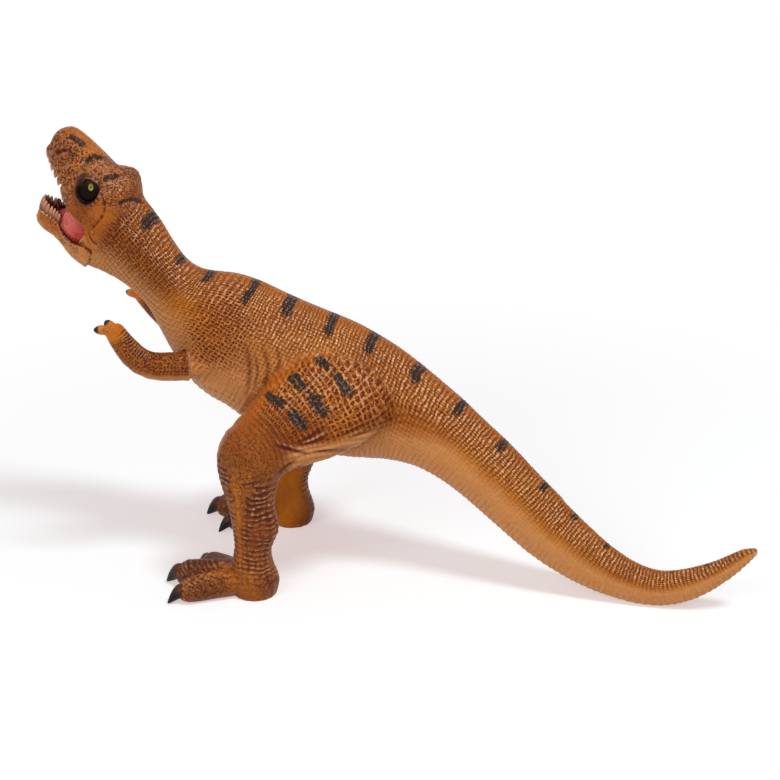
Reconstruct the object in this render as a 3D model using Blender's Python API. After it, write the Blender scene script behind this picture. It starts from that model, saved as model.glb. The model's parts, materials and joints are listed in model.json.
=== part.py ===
"""Toy dinosaur figure: a biped in soft plastic, standing on two feet and its tail.

The trunk, tail, legs and skull are separate castings that plug together. The lower
jaw swings on a pin, and each arm turns on a mushroom plug in its shoulder.
Units are metres, +Z is up, the head points to -X and the left side is at -Y.
"""

import bpy
import bmesh
from math import cos, copysign, pi, radians, sin
from mathutils import Matrix, Quaternion, Vector

# Overall sizes
figure_length = 0.3160
spine_height = 0.1500
body_depth = 0.0640
body_width = 0.0480
tail_sway = 0.0200

# Casting walls and fits
casting_wall = 0.0024
clearance = 0.0003
cut_overrun = 0.0040

# Head and jaw
head_length = 0.0440
head_width = 0.0284
cheek_gap_width = 0.0184
neck_plate = 0.0014
jaw_width = 0.0244
jaw_ear_radius = 0.0034
jaw_ear_width = 0.0015
jaw_pin_radius = 0.0011
jaw_pin_seat = 0.0010
mouth_web = 0.0011
tongue_width = 0.0076
upper_tooth_height = 0.0040
upper_tooth_radius = 0.0014
lower_tooth_height = 0.0042
lower_tooth_radius = 0.0011
eye_width = 0.0100
eye_height = 0.0108
eye_depth = 0.0026
eye_spread = 0.0212

# Legs and feet
stance_length = 0.0600
stance_width = 0.0760
leg_height = 0.1180
thigh_width = 0.0300
toe_length = 0.0310
toe_thickness = 0.0120
claw_length = 0.0068
hip_plug_radius = 0.0080
hip_plug_depth = 0.0060

# Arms
arm_length = 0.0330
arm_thickness = 0.0128
shoulder_half_width = 0.0195
shoulder_root_radius = 0.0050
shoulder_stub_length = 0.0110
shoulder_boss_reach = 0.0090
shoulder_bore_length = 0.0036
shoulder_stem_radius = 0.0024
shoulder_head_radius = 0.0034
shoulder_head_length = 0.0028
finger_thickness = 0.0052
arm_turn_room = 0.0006
right_arm_turn = -29

# Facets
body_sides = 20
limb_sides = 14
small_sides = 10
claw_sides = 8
rings_per_span = 2

# Colours of the castings, linear red, green and blue
skin_colour = (0.38, 0.135, 0.018, 1)
pink_colour = (0.45, 0.06, 0.055, 1)
tongue_colour = (0.22, 0.02, 0.018, 1)
eye_colour = (0.012, 0.006, 0.003, 1)
pin_colour = (0.55, 0.55, 0.56, 1)

# Body sections from the neck seam to the tip of the tail: place along, sway and
# height of the centre, lean of the section in degrees, depth, width and keel
body_shares = [
    (-0.393, 0.00, 1.004, 51, 0.630, 0.590, 0.05),
    (-0.3585, 0.00, 0.949, 55, 0.505, 0.560, 0.05),
    (-0.325, 0.00, 0.866, 52, 0.415, 0.540, 0.06),
    (-0.302, 0.00, 0.810, 53, 0.510, 0.640, 0.08),
    (-0.270, 0.00, 0.763, 56, 0.730, 0.800, 0.10),
    (-0.236, 0.00, 0.710, 58, 0.880, 0.920, 0.12),
    (-0.193, 0.00, 0.660, 60, 0.920, 0.980, 0.12),
    (-0.146, 0.00, 0.610, 63, 0.970, 1.000, 0.12),
    (-0.096, 0.00, 0.568, 67, 0.975, 0.980, 0.12),
    (-0.042, 0.00, 0.532, 70, 0.885, 0.900, 0.12),
    (0.008, 0.00, 0.500, 71, 0.720, 0.790, 0.12),
    (0.051, 0.05, 0.460, 70, 0.600, 0.680, 0.12),
    (0.094, 0.13, 0.402, 68, 0.535, 0.590, 0.12),
    (0.139, 0.25, 0.328, 69, 0.515, 0.540, 0.12),
    (0.184, 0.37, 0.246, 70, 0.495, 0.500, 0.12),
    (0.229, 0.50, 0.170, 71, 0.450, 0.450, 0.12),
    (0.278, 0.64, 0.106, 75, 0.375, 0.385, 0.10),
    (0.326, 0.75, 0.063, 81, 0.292, 0.325, 0.08),
    (0.373, 0.84, 0.048, 93, 0.246, 0.280, 0.06),
    (0.418, 0.90, 0.077, 105, 0.220, 0.245, 0.05),
    (0.458, 0.95, 0.130, 118, 0.160, 0.190, 0.05),
    (0.486, 0.99, 0.180, 121, 0.104, 0.125, 0.05),
    (0.5015, 1.00, 0.202, 121, 0.040, 0.050, 0.05),
]
tail_root_row = 10
neck_plug_rings = 3
tail_hollow_spans = 8

# Skull sections from the snout towards the neck seam, in the seam's own frame:
# forward and upward place of the crown, the same of the underside, and width
skull_shares = [
    (1.036, 0.395, 1.016, 0.300, 0.150),
    (1.022, 0.462, 0.955, 0.190, 0.380),
    (0.955, 0.555, 0.840, 0.050, 0.490),
    (0.834, 0.580, 0.740, -0.040, 0.545),
    (0.628, 0.568, 0.630, -0.130, 0.640),
    (0.470, 0.546, 0.515, -0.215, 0.765),
    (0.385, 0.532, 0.420, -0.275, 0.850),
    (0.310, 0.576, 0.340, -0.325, 0.905),
    (0.200, 0.612, 0.220, -0.385, 0.965),
    (0.085, 0.535, 0.095, -0.430, 1.000),
]
skull_square_share = 0.85
skull_keel_share = 0.05
# Lip and cheek edge, from the snout to the hinge lobe and the throat
lip_shares = [
    (0.990, 0.225), (0.930, 0.230), (0.862, 0.188), (0.800, 0.150), (0.700, 0.100),
    (0.621, 0.050), (0.560, -0.015), (0.480, -0.068), (0.385, -0.058),
    (0.290, -0.052), (0.215, -0.080), (0.195, -0.120), (0.185, -0.165),
    (0.150, -0.195), (0.105, -0.200),
]
throat_cut_shares = [(-1.000, 1.600), (0.225, 1.600)]
hinge_share = (0.122, -0.105)
mouth_hollow_shares = [
    (0.940, 0.280, 0.960, 0.120, 0.240),
    (0.870, 0.285, 0.880, 0.060, 0.420),
    (0.770, 0.245, 0.790, -0.020, 0.520),
    (0.660, 0.195, 0.690, -0.100, 0.610),
    (0.560, 0.170, 0.590, -0.200, 0.780),
    (0.460, 0.160, 0.470, -0.350, 1.000),
    (0.330, 0.165, 0.330, -0.480, 1.000),
    (0.200, 0.150, 0.180, -0.500, 1.000),
]
mouth_rear_share = (0.140, -0.450)
mouth_square_share = 0.50
eye_share = (0.435, 0.272)
# Tooth lines: forward, upward and half width at each place
upper_teeth_shares = [
    (0.975, 0.252, 0.100), (0.925, 0.240, 0.260), (0.860, 0.198, 0.340), (0.790, 0.160, 0.385),
    (0.720, 0.122, 0.420), (0.640, 0.070, 0.460), (0.590, 0.030, 0.520),
]
lower_teeth_shares = [
    (0.700, -0.306, 0.060), (0.676, -0.300, 0.210), (0.625, -0.290, 0.330), (0.570, -0.270, 0.400),
    (0.525, -0.258, 0.430), (0.482, -0.254, 0.455),
]
upper_teeth_count = 7
lower_teeth_count = 8
tooth_sides = 5
upper_tooth_lean_share = -0.18
lower_tooth_lean_share = 0.45
tooth_root_share = 0.60
tooth_tip_share = 0.16
tooth_taper_share = 0.30

# Lower jaw sections from the chin to the throat, in the same frame: forward and
# upward place above the rim, the same of the underside, and width
jaw_shares = [
    (0.716, -0.320, 0.702, -0.395, 0.100),
    (0.712, -0.230, 0.650, -0.450, 0.330),
    (0.650, -0.170, 0.540, -0.470, 0.480),
    (0.560, -0.130, 0.430, -0.445, 0.590),
    (0.450, -0.120, 0.290, -0.470, 0.670),
    (0.345, -0.120, 0.150, -0.495, 0.780),
    (0.240, -0.120, 0.065, -0.485, 0.880),
    (0.120, -0.120, -0.020, -0.465, 0.940),
]
jaw_rim_shares = [
    (0.900, -0.330), (0.708, -0.316), (0.636, -0.287), (0.560, -0.262), (0.485, -0.262),
    (0.425, -0.288), (0.350, -0.316), (0.262, -0.312), (0.180, -0.275), (0.120, -0.245),
    (-0.200, -0.245),
]
above_rim_shares = [(-0.200, 0.600), (0.900, 0.600)]
behind_jaw_shares = (-0.600, -1.000, 0.600)
strap_foot_shares = (0.200, 0.060, -0.330)
strap_width_share = 0.98
jaw_square_share = 0.85
jaw_pouch_shares = [
    (0.660, -0.110, 0.642, -0.360, 0.200),
    (0.610, -0.100, 0.550, -0.410, 0.370),
    (0.520, -0.060, 0.440, -0.395, 0.480),
    (0.410, -0.030, 0.320, -0.405, 0.560),
    (0.310, 0.000, 0.210, -0.440, 0.600),
    (0.210, 0.000, 0.110, -0.450, 0.600),
    (0.060, 0.060, -0.060, -0.420, 0.600),
]
# The pink tub that lines the jaw: sections from the tooth row to the throat
insert_shares = [
    (0.575, -0.245, 0.560, -0.340, 0.360),
    (0.530, -0.120, 0.500, -0.355, 0.420),
    (0.470, -0.035, 0.420, -0.360, 0.490),
    (0.370, -0.018, 0.320, -0.365, 0.540),
    (0.290, -0.025, 0.220, -0.375, 0.550),
    (0.230, -0.055, 0.160, -0.375, 0.550),
]
insert_floor_share = 0.030
insert_height_share = 0.300
tongue_shares = [
    (0.632, -0.130, 0.22, 0.40), (0.600, -0.160, 0.60, 0.90), (0.540, -0.205, 0.80, 1.00),
    (0.460, -0.253, 0.92, 1.00), (0.370, -0.290, 0.92, 1.00), (0.290, -0.303, 0.70, 0.80),
]
tongue_thickness = 0.0026

# Leg sections from the hip dome to the sole: height, front and rear reach from the
# shank's axis, drop of the rear point, lateral place of the centre, lateral width
leg_shares = [
    (0.900, -0.500, -0.740, 0.030, 0.400, 0.300),
    (0.870, -0.290, -0.910, 0.070, 0.470, 0.620),
    (0.805, -0.070, -0.950, 0.120, 0.600, 0.900),
    (0.715, 0.060, -0.740, 0.130, 0.740, 0.950),
    (0.620, 0.215, -0.390, 0.100, 0.880, 0.850),
    (0.545, 0.260, -0.225, 0.060, 0.960, 0.740),
    (0.465, 0.240, -0.180, 0.040, 1.000, 0.640),
    (0.375, 0.185, -0.160, 0.020, 1.010, 0.580),
    (0.270, 0.150, -0.180, 0.005, 1.010, 0.560),
    (0.190, 0.140, -0.135, 0.000, 1.000, 0.540),
    (0.125, 0.165, -0.140, 0.000, 0.990, 0.600),
    (0.055, 0.190, -0.180, 0.000, 0.980, 0.680),
    (-0.010, 0.150, -0.150, 0.000, 0.980, 0.620),
]
shank_share = -0.180
hip_share = (-0.076, 0.600)

# Toes: turn outward in degrees, length, thickness and claw size
toe_shares = [(30, 1.020, 1.060, 1.0), (-3, 1.060, 1.180, 1.0), (-36, 0.940, 1.030, 0.95)]
ankle_share = (0.10, 0.49)
toe_width_share = 0.98
claw_root_share = 0.93
claw_width_share = 0.80
toe_profile_shares = [
    (-0.250, 0.560, 1.150), (0.050, 0.570, 1.180), (0.300, 0.500, 1.050),
    (0.520, 0.470, 0.980), (0.700, 0.440, 0.940), (0.860, 0.420, 0.860), (0.960, 0.380, 0.600),
]
claw_profile_shares = [
    (-0.35, 0.420, 0.56), (0.10, 0.430, 0.54), (0.40, 0.360, 0.42),
    (0.70, 0.210, 0.26), (0.95, 0.070, 0.08),
]

# Arm centreline from the shoulder seam: along the shoulder axis, up, and thickness
arm_shares = [
    (0.000, 0.000, 1.00), (0.160, -0.005, 1.00), (0.330, 0.000, 0.98), (0.480, 0.020, 0.95),
    (0.610, 0.080, 0.92), (0.710, 0.170, 0.88), (0.800, 0.285, 0.82), (0.880, 0.400, 0.75),
    (0.940, 0.495, 0.70), (0.980, 0.555, 0.56),
]
arm_axis_share = (-0.930, 0.365, 0.045)
shoulder_share = (-0.281, 0.650)
# Fingers: root and tip, each along the axis, up and inward, and thickness
finger_shares = [
    (0.920, 0.510, -0.020, 1.215, 0.520, -0.040, 1.0),
    (0.930, 0.520, 0.060, 1.080, 0.700, 0.120, 1.0),
]
arm_width_share = 0.94
finger_width_share = 0.90
finger_profile_shares = [(0.00, 1.00), (0.30, 0.98), (0.55, 0.90), (0.75, 0.78), (0.90, 0.50), (1.00, 0.14)]
hip_plug_root_share = 0.05
tail_wall_share = 0.80
neck_plug_start_share = 0.60


def clear_scene():
    """Start from an empty scene."""
    for item in list(bpy.data.objects):
        bpy.data.objects.remove(item, do_unlink=True)


clear_scene()
parts = bpy.data.collections.new("toy_dinosaur")
cutters = bpy.data.collections.new("cutters")
for group in (parts, cutters):
    bpy.context.scene.collection.children.link(group)


def material(name, colour, roughness, metallic=0.0):
    """A plain Principled finish."""
    made = bpy.data.materials.new(name)
    made.use_nodes = True
    shader = made.node_tree.nodes["Principled BSDF"]
    shader.inputs["Base Color"].default_value = colour
    shader.inputs["Roughness"].default_value = roughness
    shader.inputs["Metallic"].default_value = metallic
    return made


def add_object(name, mesh, finish=None):
    """A part goes in the named collection, and a cutter, which has no finish, apart."""
    made = bpy.data.objects.new(name, mesh)
    if finish is None:
        cutters.objects.link(made)
        made.hide_render = True
        made.display_type = "WIRE"
    else:
        parts.objects.link(made)
        mesh.materials.append(finish)
        mesh.shade_smooth()
        mesh.set_sharp_from_angle(angle=radians(40))
    return made


def closed_mesh(name, form):
    """Turn a bmesh into a mesh of flat faces that all point out."""
    bmesh.ops.triangulate(form, faces=[face for face in form.faces if len(face.verts) == 4])
    bmesh.ops.recalc_face_normals(form, faces=form.faces[:])
    mesh = bpy.data.meshes.new(name)
    form.to_mesh(mesh)
    form.free()
    return mesh


def loft(name, rings, finish=None):
    """Skin a row of unlike sections and close both ends."""
    form = bmesh.new()
    loops = [[form.verts.new(point) for point in ring] for ring in rings]
    for first, second in zip(loops, loops[1:]):
        for step in range(len(first)):
            turn = (step + 1) % len(first)
            form.faces.new((first[step], first[turn], second[turn], second[step]))
    form.faces.new(loops[0])
    form.faces.new(loops[-1])
    return add_object(name, closed_mesh(name, form), finish)


def prism(name, outline, half_width, finish=None, middle=0.0):
    """Extrude a side-view outline across the body, about the plane y = middle."""
    rings = [[Vector((x, middle + side * half_width, z)) for x, z in outline] for side in (-1, 1)]
    return loft(name, rings, finish)


def rod(name, start, end, start_radius, end_radius=None, sides=limb_sides, finish=None):
    """A round bar or cone between two points."""
    form = bmesh.new()
    axis = end - start
    tip_radius = start_radius if end_radius is None else end_radius
    place = Matrix.Translation((start + end) / 2) @ axis.to_track_quat("Z", "Y").to_matrix().to_4x4()
    bmesh.ops.create_cone(form, cap_ends=True, segments=sides, radius1=start_radius,
                          radius2=tip_radius, depth=axis.length, matrix=place)
    return add_object(name, closed_mesh(name, form), finish)


def combine(target, tool, operation):
    """Cut a tool out of a part, or fuse it to the part."""
    step = target.modifiers.new(operation.lower(), "BOOLEAN")
    step.operation = operation
    step.solver = "EXACT"
    step.object = tool


def cut(target, tool):
    combine(target, tool, "DIFFERENCE")


def fuse(target, tool):
    combine(target, tool, "UNION")


def eased(rows, per_span=rings_per_span):
    """Add rows between the given ones along a Catmull-Rom curve."""
    out = []
    last = len(rows) - 1
    for index in range(last):
        before, start = rows[max(index - 1, 0)], rows[index]
        end, after = rows[index + 1], rows[min(index + 2, last)]
        for step in range(per_span):
            t = step / per_span
            out.append(tuple(
                0.5 * (2 * b + (c - a) * t + (2 * a - 5 * b + 4 * c - d) * t ** 2
                       + (3 * b - a - 3 * c + d) * t ** 3)
                for a, b, c, d in zip(before, start, end, after)))
    return out + [tuple(rows[-1])]


def oval(centre, up, across, half_height, half_width, sides, keel=0.0, squareness=1.0):
    """Points of an egg-shaped section; a keel narrows the top and widens the base."""
    points = []
    for step in range(sides):
        angle = 2 * pi * step / sides
        rise, reach = cos(angle), sin(angle)
        rise = copysign(abs(rise) ** squareness, rise)
        reach = copysign(abs(reach) ** squareness, reach)
        points.append(centre + up * rise * half_height + across * reach * half_width * (1 - keel * rise))
    return points


body_rows = eased(body_shares)


def body_frame(row):
    """Centre and upward direction of a body section."""
    along, sway, height, lean = row[:4]
    centre = Vector((along * figure_length, -sway * tail_sway, height * spine_height))
    return centre, Vector((cos(radians(lean)), 0, sin(radians(lean))))


def run_out(rings, start=0.0, end=0.0):
    """Carry the end sections on along the surface; a negative length draws them back."""
    ends = ((0, 1, start), (-1, -2, end))
    moved = {}
    for tip, behind, length in ends:
        if length:
            spacing = (rings[tip][0] - rings[behind][0]).length
            share = length / spacing
            moved[tip] = [a + (a - b) * share for a, b in zip(rings[tip], rings[behind])]
    for tip, ring in moved.items():
        rings[tip] = ring
    return rings


def body_rings(first, last, inset=0.0, start=0.0, end=0.0, stride=1):
    """Body sections between two rows, shrunk by an inset, with run-outs past the ends."""
    centres = [body_frame(row)[0] for row in body_rows]
    rings = []
    for index in range(first, last + 1, stride):
        row = body_rows[index]
        centre, up = body_frame(row)
        ahead = centres[min(index + 1, len(centres) - 1)] - centres[max(index - 1, 0)]
        across = up.cross(ahead).normalized()
        half_height = row[4] * body_depth / 2 - inset
        half_width = row[5] * body_width / 2 - inset
        rings.append(oval(centre, up, across, half_height, half_width, body_sides, row[6]))
    return run_out(rings, start, end)


# The neck seam's own frame: forward along the head and upward in the seam
seam_centre, seam_up = body_frame(body_rows[0])
seam_forward = Vector((-seam_up.z, 0, seam_up.x))
side_vector = Vector((0, 1, 0))


def head_point(forward, upward, across=0.0):
    """A place on the head, given as shares of the head's length."""
    return (seam_centre + seam_forward * forward * head_length
            + seam_up * upward * head_length + side_vector * across)


def head_outline(shares):
    """A side-view outline on the head, as x and z values."""
    return [(point.x, point.z) for point in (head_point(*share) for share in shares)]


def head_rings(rows, width, sides=body_sides, side_inset=0.0, keel=0.0, squareness=1.0):
    """Sections between a crown point and an underside point; a sixth value is their squareness."""
    rings = []
    for ahead, above, ahead_low, below, wide, *square in rows:
        crown = head_point(ahead, above)
        base = head_point(ahead_low, below)
        spread = crown - base
        rings.append(oval((crown + base) / 2, spread.normalized(), side_vector, spread.length / 2,
                          wide * width / 2 - side_inset, sides, keel, square[0] if square else squareness))
    return rings


tail_seam = tail_root_row * rings_per_span
body_end = len(body_rows) - 1
tail_hollow_end = tail_seam + tail_hollow_spans * rings_per_span

skin = material("ochre_skin", skin_colour, 0.42)
pink = material("mouth_pink", pink_colour, 0.35)
red = material("tongue_red", tongue_colour, 0.35)
dark = material("eye_brown", eye_colour, 0.12)
steel = material("pin_steel", pin_colour, 0.30, 1.0)


def shoulder_frame(side):
    """Centre of the shoulder seam, and the axis that the arm turns on."""
    along, height = shoulder_share
    forward, outward, up = arm_axis_share
    centre = Vector((along * figure_length, side * shoulder_half_width, height * spine_height))
    return centre, Vector((forward, side * outward, up)).normalized()


hip_centre = Vector((hip_share[0] * figure_length, 0, hip_share[1] * spine_height))
arm_radius = arm_thickness / 2


def build_torso():
    """Hollow trunk and neck, with a stub and boss at each shoulder and a hole at each hip."""
    torso = loft("torso", body_rings(0, tail_seam), skin)
    hollow = loft("torso_hollow", body_rings(0, tail_seam, casting_wall, cut_overrun, cut_overrun,
                                             rings_per_span))
    boss_radius = arm_radius + arm_turn_room + casting_wall
    for side, label in ((-1, "left_shoulder"), (1, "right_shoulder")):
        seam, axis = shoulder_frame(side)
        root = seam - axis * shoulder_stub_length
        cut(hollow, rod(f"{label}_boss", root, seam + axis * shoulder_boss_reach, boss_radius))
    cut(torso, hollow)
    stem_bore = shoulder_stem_radius + clearance
    head_bore = shoulder_head_radius + 2 * clearance
    for side, label in ((-1, "left_shoulder"), (1, "right_shoulder")):
        seam, axis = shoulder_frame(side)
        root = seam - axis * shoulder_stub_length
        fuse(torso, rod(f"{label}_stub", root + axis * clearance, seam + axis * cut_overrun,
                        shoulder_root_radius, arm_radius))
        cut(torso, rod(f"{label}_room", seam, seam + axis * arm_length, arm_radius + arm_turn_room))
        neck_end = seam - axis * shoulder_bore_length
        cut(torso, rod(f"{label}_bore", neck_end - axis * cut_overrun, seam + axis * cut_overrun, stem_bore))
        cut(torso, rod(f"{label}_well", root - axis * cut_overrun, neck_end, head_bore))
    reach = side_vector * body_width
    cut(torso, rod("hip_hole", hip_centre - reach, hip_centre + reach, hip_plug_radius + clearance))
    return torso


def build_tail():
    """Tapering tail with a spigot that fits inside the trunk, hollow for half its length."""
    tail = loft("tail", body_rings(tail_seam, body_end, start=-clearance), skin)
    fit = casting_wall + clearance
    spigot = loft("tail_spigot", body_rings(tail_seam - 1, tail_seam + 1, fit, end=-clearance))
    hollow = loft("tail_hollow", body_rings(tail_seam - rings_per_span, tail_hollow_end,
                                            fit + casting_wall * tail_wall_share, stride=rings_per_span))
    fuse(tail, spigot)
    cut(tail, hollow)
    cut(tail, rod("tail_floor", Vector((0, 0, -figure_length)), Vector((0, 0, 0)), figure_length))
    return tail


def build_leg(name, side):
    """One leg from hip to claws, cut to sit against the trunk, with a plug for the hip hole."""
    shank = shank_share * figure_length
    rings = []
    for height, front, rear, drop, place, width in eased(leg_shares):
        top = height * leg_height
        ahead = Vector((shank - front * stance_length, 0, top))
        behind = Vector((shank - rear * stance_length, 0, top - drop * leg_height))
        spread = ahead - behind
        middle = (ahead + behind) / 2 + side_vector * side * place * stance_width / 2
        rings.append(oval(middle, spread.normalized(), side_vector, spread.length / 2,
                          width * thigh_width / 2, limb_sides))
    leg = loft(name, rings, skin)
    ankle = Vector((shank - toe_length * ankle_share[0], side * stance_width * ankle_share[1], 0))
    for number, (turn, length, thickness, claw) in enumerate(toe_shares):
        heading = Vector((-cos(radians(turn)), side * sin(radians(turn)), 0))
        across = Vector((0, 0, 1)).cross(heading)
        toe_rings = []
        for along, height, size in toe_profile_shares:
            centre = ankle + heading * along * length * toe_length
            half = size * thickness * toe_thickness / 2
            centre.z = height * thickness * toe_thickness
            toe_rings.append(oval(centre, Vector((0, 0, 1)), across, half,
                                  half * toe_width_share, small_sides))
        fuse(leg, loft(f"{name}_toe_{number}", toe_rings))
        root = ankle + heading * length * toe_length * claw_root_share
        claw_rings = []
        for along, height, size in claw_profile_shares:
            centre = root + heading * along * claw_length * claw
            half = size * thickness * toe_thickness / 2
            centre.z = height * thickness * toe_thickness
            claw_rings.append(oval(centre, Vector((0, 0, 1)), across, half,
                                   half * claw_width_share, claw_sides))
        fuse(leg, loft(f"{name}_claw_{number}", claw_rings))
    cut(leg, rod(f"{name}_floor", Vector((0, 0, -figure_length)), Vector((0, 0, 0)), figure_length))
    cut(leg, loft(f"{name}_trunk_room", body_rings(0, tail_seam, -clearance)))
    inner = body_width / 2 - casting_wall - hip_plug_depth
    plug_start = hip_centre + side_vector * side * inner
    plug_end = hip_centre + side_vector * side * (body_width / 2 + thigh_width * hip_plug_root_share)
    fuse(leg, rod(f"{name}_plug", plug_start, plug_end, hip_plug_radius))
    return leg


def mirrored(source, name, finish):
    """The opposite-hand copy of a finished casting."""
    bpy.context.view_layer.update()
    evaluated = source.evaluated_get(bpy.context.evaluated_depsgraph_get())
    form = bmesh.new()
    form.from_mesh(evaluated.to_mesh())
    evaluated.to_mesh_clear()
    form.transform(source.matrix_world)
    form.transform(Matrix.Scale(-1, 4, side_vector))
    bmesh.ops.reverse_faces(form, faces=form.faces[:])
    mesh = bpy.data.meshes.new(name)
    form.to_mesh(mesh)
    form.free()
    return add_object(name, mesh, finish)


def hang_on(holder, point, *pieces):
    """Carry pieces on an empty that stands on their joint's axis."""
    empty = bpy.data.objects.new(holder, None)
    parts.objects.link(empty)
    empty.location = point
    for piece in pieces:
        piece.data.transform(Matrix.Translation(-point))
        piece.parent = empty


def along_line(shares, fraction):
    """A place on a row of points, by a fraction of its rows."""
    position = fraction * (len(shares) - 1)
    index = min(int(position), len(shares) - 2)
    rest = position - index
    return tuple(a + (b - a) * rest for a, b in zip(shares[index], shares[index + 1]))


def teeth(name, line, count, height, radius, direction):
    """Cones in one mesh down both sides of a jaw, smaller towards the back."""
    form = bmesh.new()
    for number in range(count):
        forward, upward, half = along_line(line, number / (count - 1))
        size = 1 - tooth_taper_share * number / (count - 1)
        axis = direction.normalized() * height * size
        for side in (-1, 1):
            root = head_point(forward, upward, side * half * head_width / 2)
            start = root - axis * tooth_root_share
            end = root + axis
            place = Matrix.Translation((start + end) / 2)
            place = place @ axis.to_track_quat("Z", "Y").to_matrix().to_4x4()
            bmesh.ops.create_cone(form, cap_ends=True, segments=tooth_sides,
                                  radius1=radius * size, radius2=radius * tooth_tip_share,
                                  depth=(end - start).length, matrix=place)
    return add_object(name, closed_mesh(name, form))


def eye_form(name, side, grow, finish=None):
    """A flattened ball that fills the eye socket."""
    form = bmesh.new()
    bmesh.ops.create_uvsphere(form, u_segments=limb_sides, v_segments=small_sides // 2 + 2, radius=1)
    size = (eye_width / 2 + grow, eye_depth / 2 + grow, eye_height / 2 + grow)
    form.transform(Matrix.Diagonal((*size, 1)))
    form.transform(Matrix.Translation(head_point(*eye_share, side * eye_spread / 2)))
    return add_object(name, closed_mesh(name, form), finish)


hinge_centre = head_point(*hinge_share)


def build_head():
    """Skull and upper jaw, open below, with a plug for the neck and seats for the pin."""
    neck = body_rows[0]
    seam_half = neck[4] * body_depth / 2 / head_length
    seam_wide = neck[5] * body_width / head_width
    rows = [row + (skull_square_share,) for row in skull_shares]
    rows.append((0, seam_half, 0, -seam_half, seam_wide, 1))
    skull = head_rings(eased(rows), head_width, keel=skull_keel_share)
    head = loft("head", run_out(skull, end=-clearance), skin)
    plate = neck_plate / head_length
    (below, ahead), (above, _) = throat_cut_shares
    throat = [(plate, lip_shares[-1][1]), (plate, below), (ahead, below), (ahead, above)]
    cut(head, prism("mouth_opening", head_outline(lip_shares + throat), head_width))
    top, bottom = mouth_rear_share
    rear = (neck_plate + clearance) / head_length
    hollow = mouth_hollow_shares + [(rear, top, rear, bottom, 1)]
    cavity = head_rings(hollow, cheek_gap_width, limb_sides, squareness=mouth_square_share)
    cut(head, loft("mouth_hollow", cavity))
    start = neck_plate * neck_plug_start_share
    plug = body_rings(0, neck_plug_rings, casting_wall + clearance, start=start, end=-clearance)
    fuse(head, loft("neck_plug", plug))
    down = seam_forward * upper_tooth_lean_share - seam_up
    fuse(head, teeth("upper_teeth", upper_teeth_shares, upper_teeth_count, upper_tooth_height,
                     upper_tooth_radius, down))
    reach = side_vector * (cheek_gap_width / 2 + jaw_pin_seat + clearance)
    cut(head, rod("pin_hole", hinge_centre - reach, hinge_centre + reach, jaw_pin_radius + clearance))
    for side, label in ((-1, "left_socket"), (1, "right_socket")):
        cut(head, eye_form(label, side, clearance))
    return head


def build_lower_jaw():
    """Lower jaw and throat, a trough with teeth and an ear on each side for the pin."""
    jaw = loft("lower_jaw", head_rings(eased(jaw_shares), jaw_width, limb_sides,
                                      squareness=jaw_square_share), skin)
    cut(jaw, prism("jaw_rim_cut", head_outline(jaw_rim_shares + above_rim_shares), jaw_width))
    ear_outer = cheek_gap_width / 2 - clearance
    ear_inner = ear_outer - jaw_ear_width
    ear_share = jaw_ear_radius / head_length
    forward, upward = hinge_share
    foot_ahead, foot_behind, foot_height = strap_foot_shares
    strap = [(forward - ear_share, upward), (forward + ear_share, upward),
             (foot_ahead, foot_height), (foot_behind, foot_height)]
    for side, label in ((-1, "left"), (1, "right")):
        outer = side_vector * side * ear_outer
        inner = side_vector * side * ear_inner
        fuse(jaw, rod(f"{label}_ear", hinge_centre + inner, hinge_centre + outer, jaw_ear_radius))
        fuse(jaw, prism(f"{label}_strap", head_outline(strap), jaw_ear_width / 2 * strap_width_share,
                        middle=side * (ear_outer + ear_inner) / 2))
    pouch = head_rings(jaw_pouch_shares, jaw_width, limb_sides, squareness=mouth_square_share)
    cut(jaw, loft("jaw_pouch", pouch))
    plate = (neck_plate + clearance) / head_length
    rear, low, high = behind_jaw_shares
    behind = [(plate, high), (plate, low), (rear, low), (rear, high)]
    cut(jaw, prism("jaw_rear_cut", head_outline(behind), jaw_width))
    up = seam_up + seam_forward * lower_tooth_lean_share
    fuse(jaw, teeth("lower_teeth", lower_teeth_shares, lower_teeth_count, lower_tooth_height,
                    lower_tooth_radius, up))
    reach = side_vector * jaw_width
    cut(jaw, rod("ear_hole", hinge_centre - reach, hinge_centre + reach, jaw_pin_radius + clearance))
    return jaw


def build_mouth_insert():
    """Pink tub that lines the lower jaw, open in front, with a web inside each cheek."""
    rings = head_rings(eased(insert_shares), jaw_width, limb_sides, squareness=mouth_square_share)
    insert = loft("mouth_insert", rings, pink)
    hollow_rows = [(ahead, above + insert_height_share, ahead_low, below + insert_floor_share, wide)
                   for ahead, above, ahead_low, below, wide in insert_shares[:-1]]
    hollow = head_rings(eased(hollow_rows), jaw_width, limb_sides, mouth_web, squareness=mouth_square_share)
    cut(insert, loft("insert_hollow", run_out(hollow, cut_overrun, clearance)))
    return insert


def build_tongue():
    """Flat tongue that lies in the tub with its tip raised."""
    rings = []
    for forward, upward, wide, thick in eased(tongue_shares):
        centre = head_point(forward, upward)
        rings.append(oval(centre, seam_up, side_vector, thick * tongue_thickness / 2,
                          wide * tongue_width / 2, small_sides + 2))
    return loft("tongue", rings, red)


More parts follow.
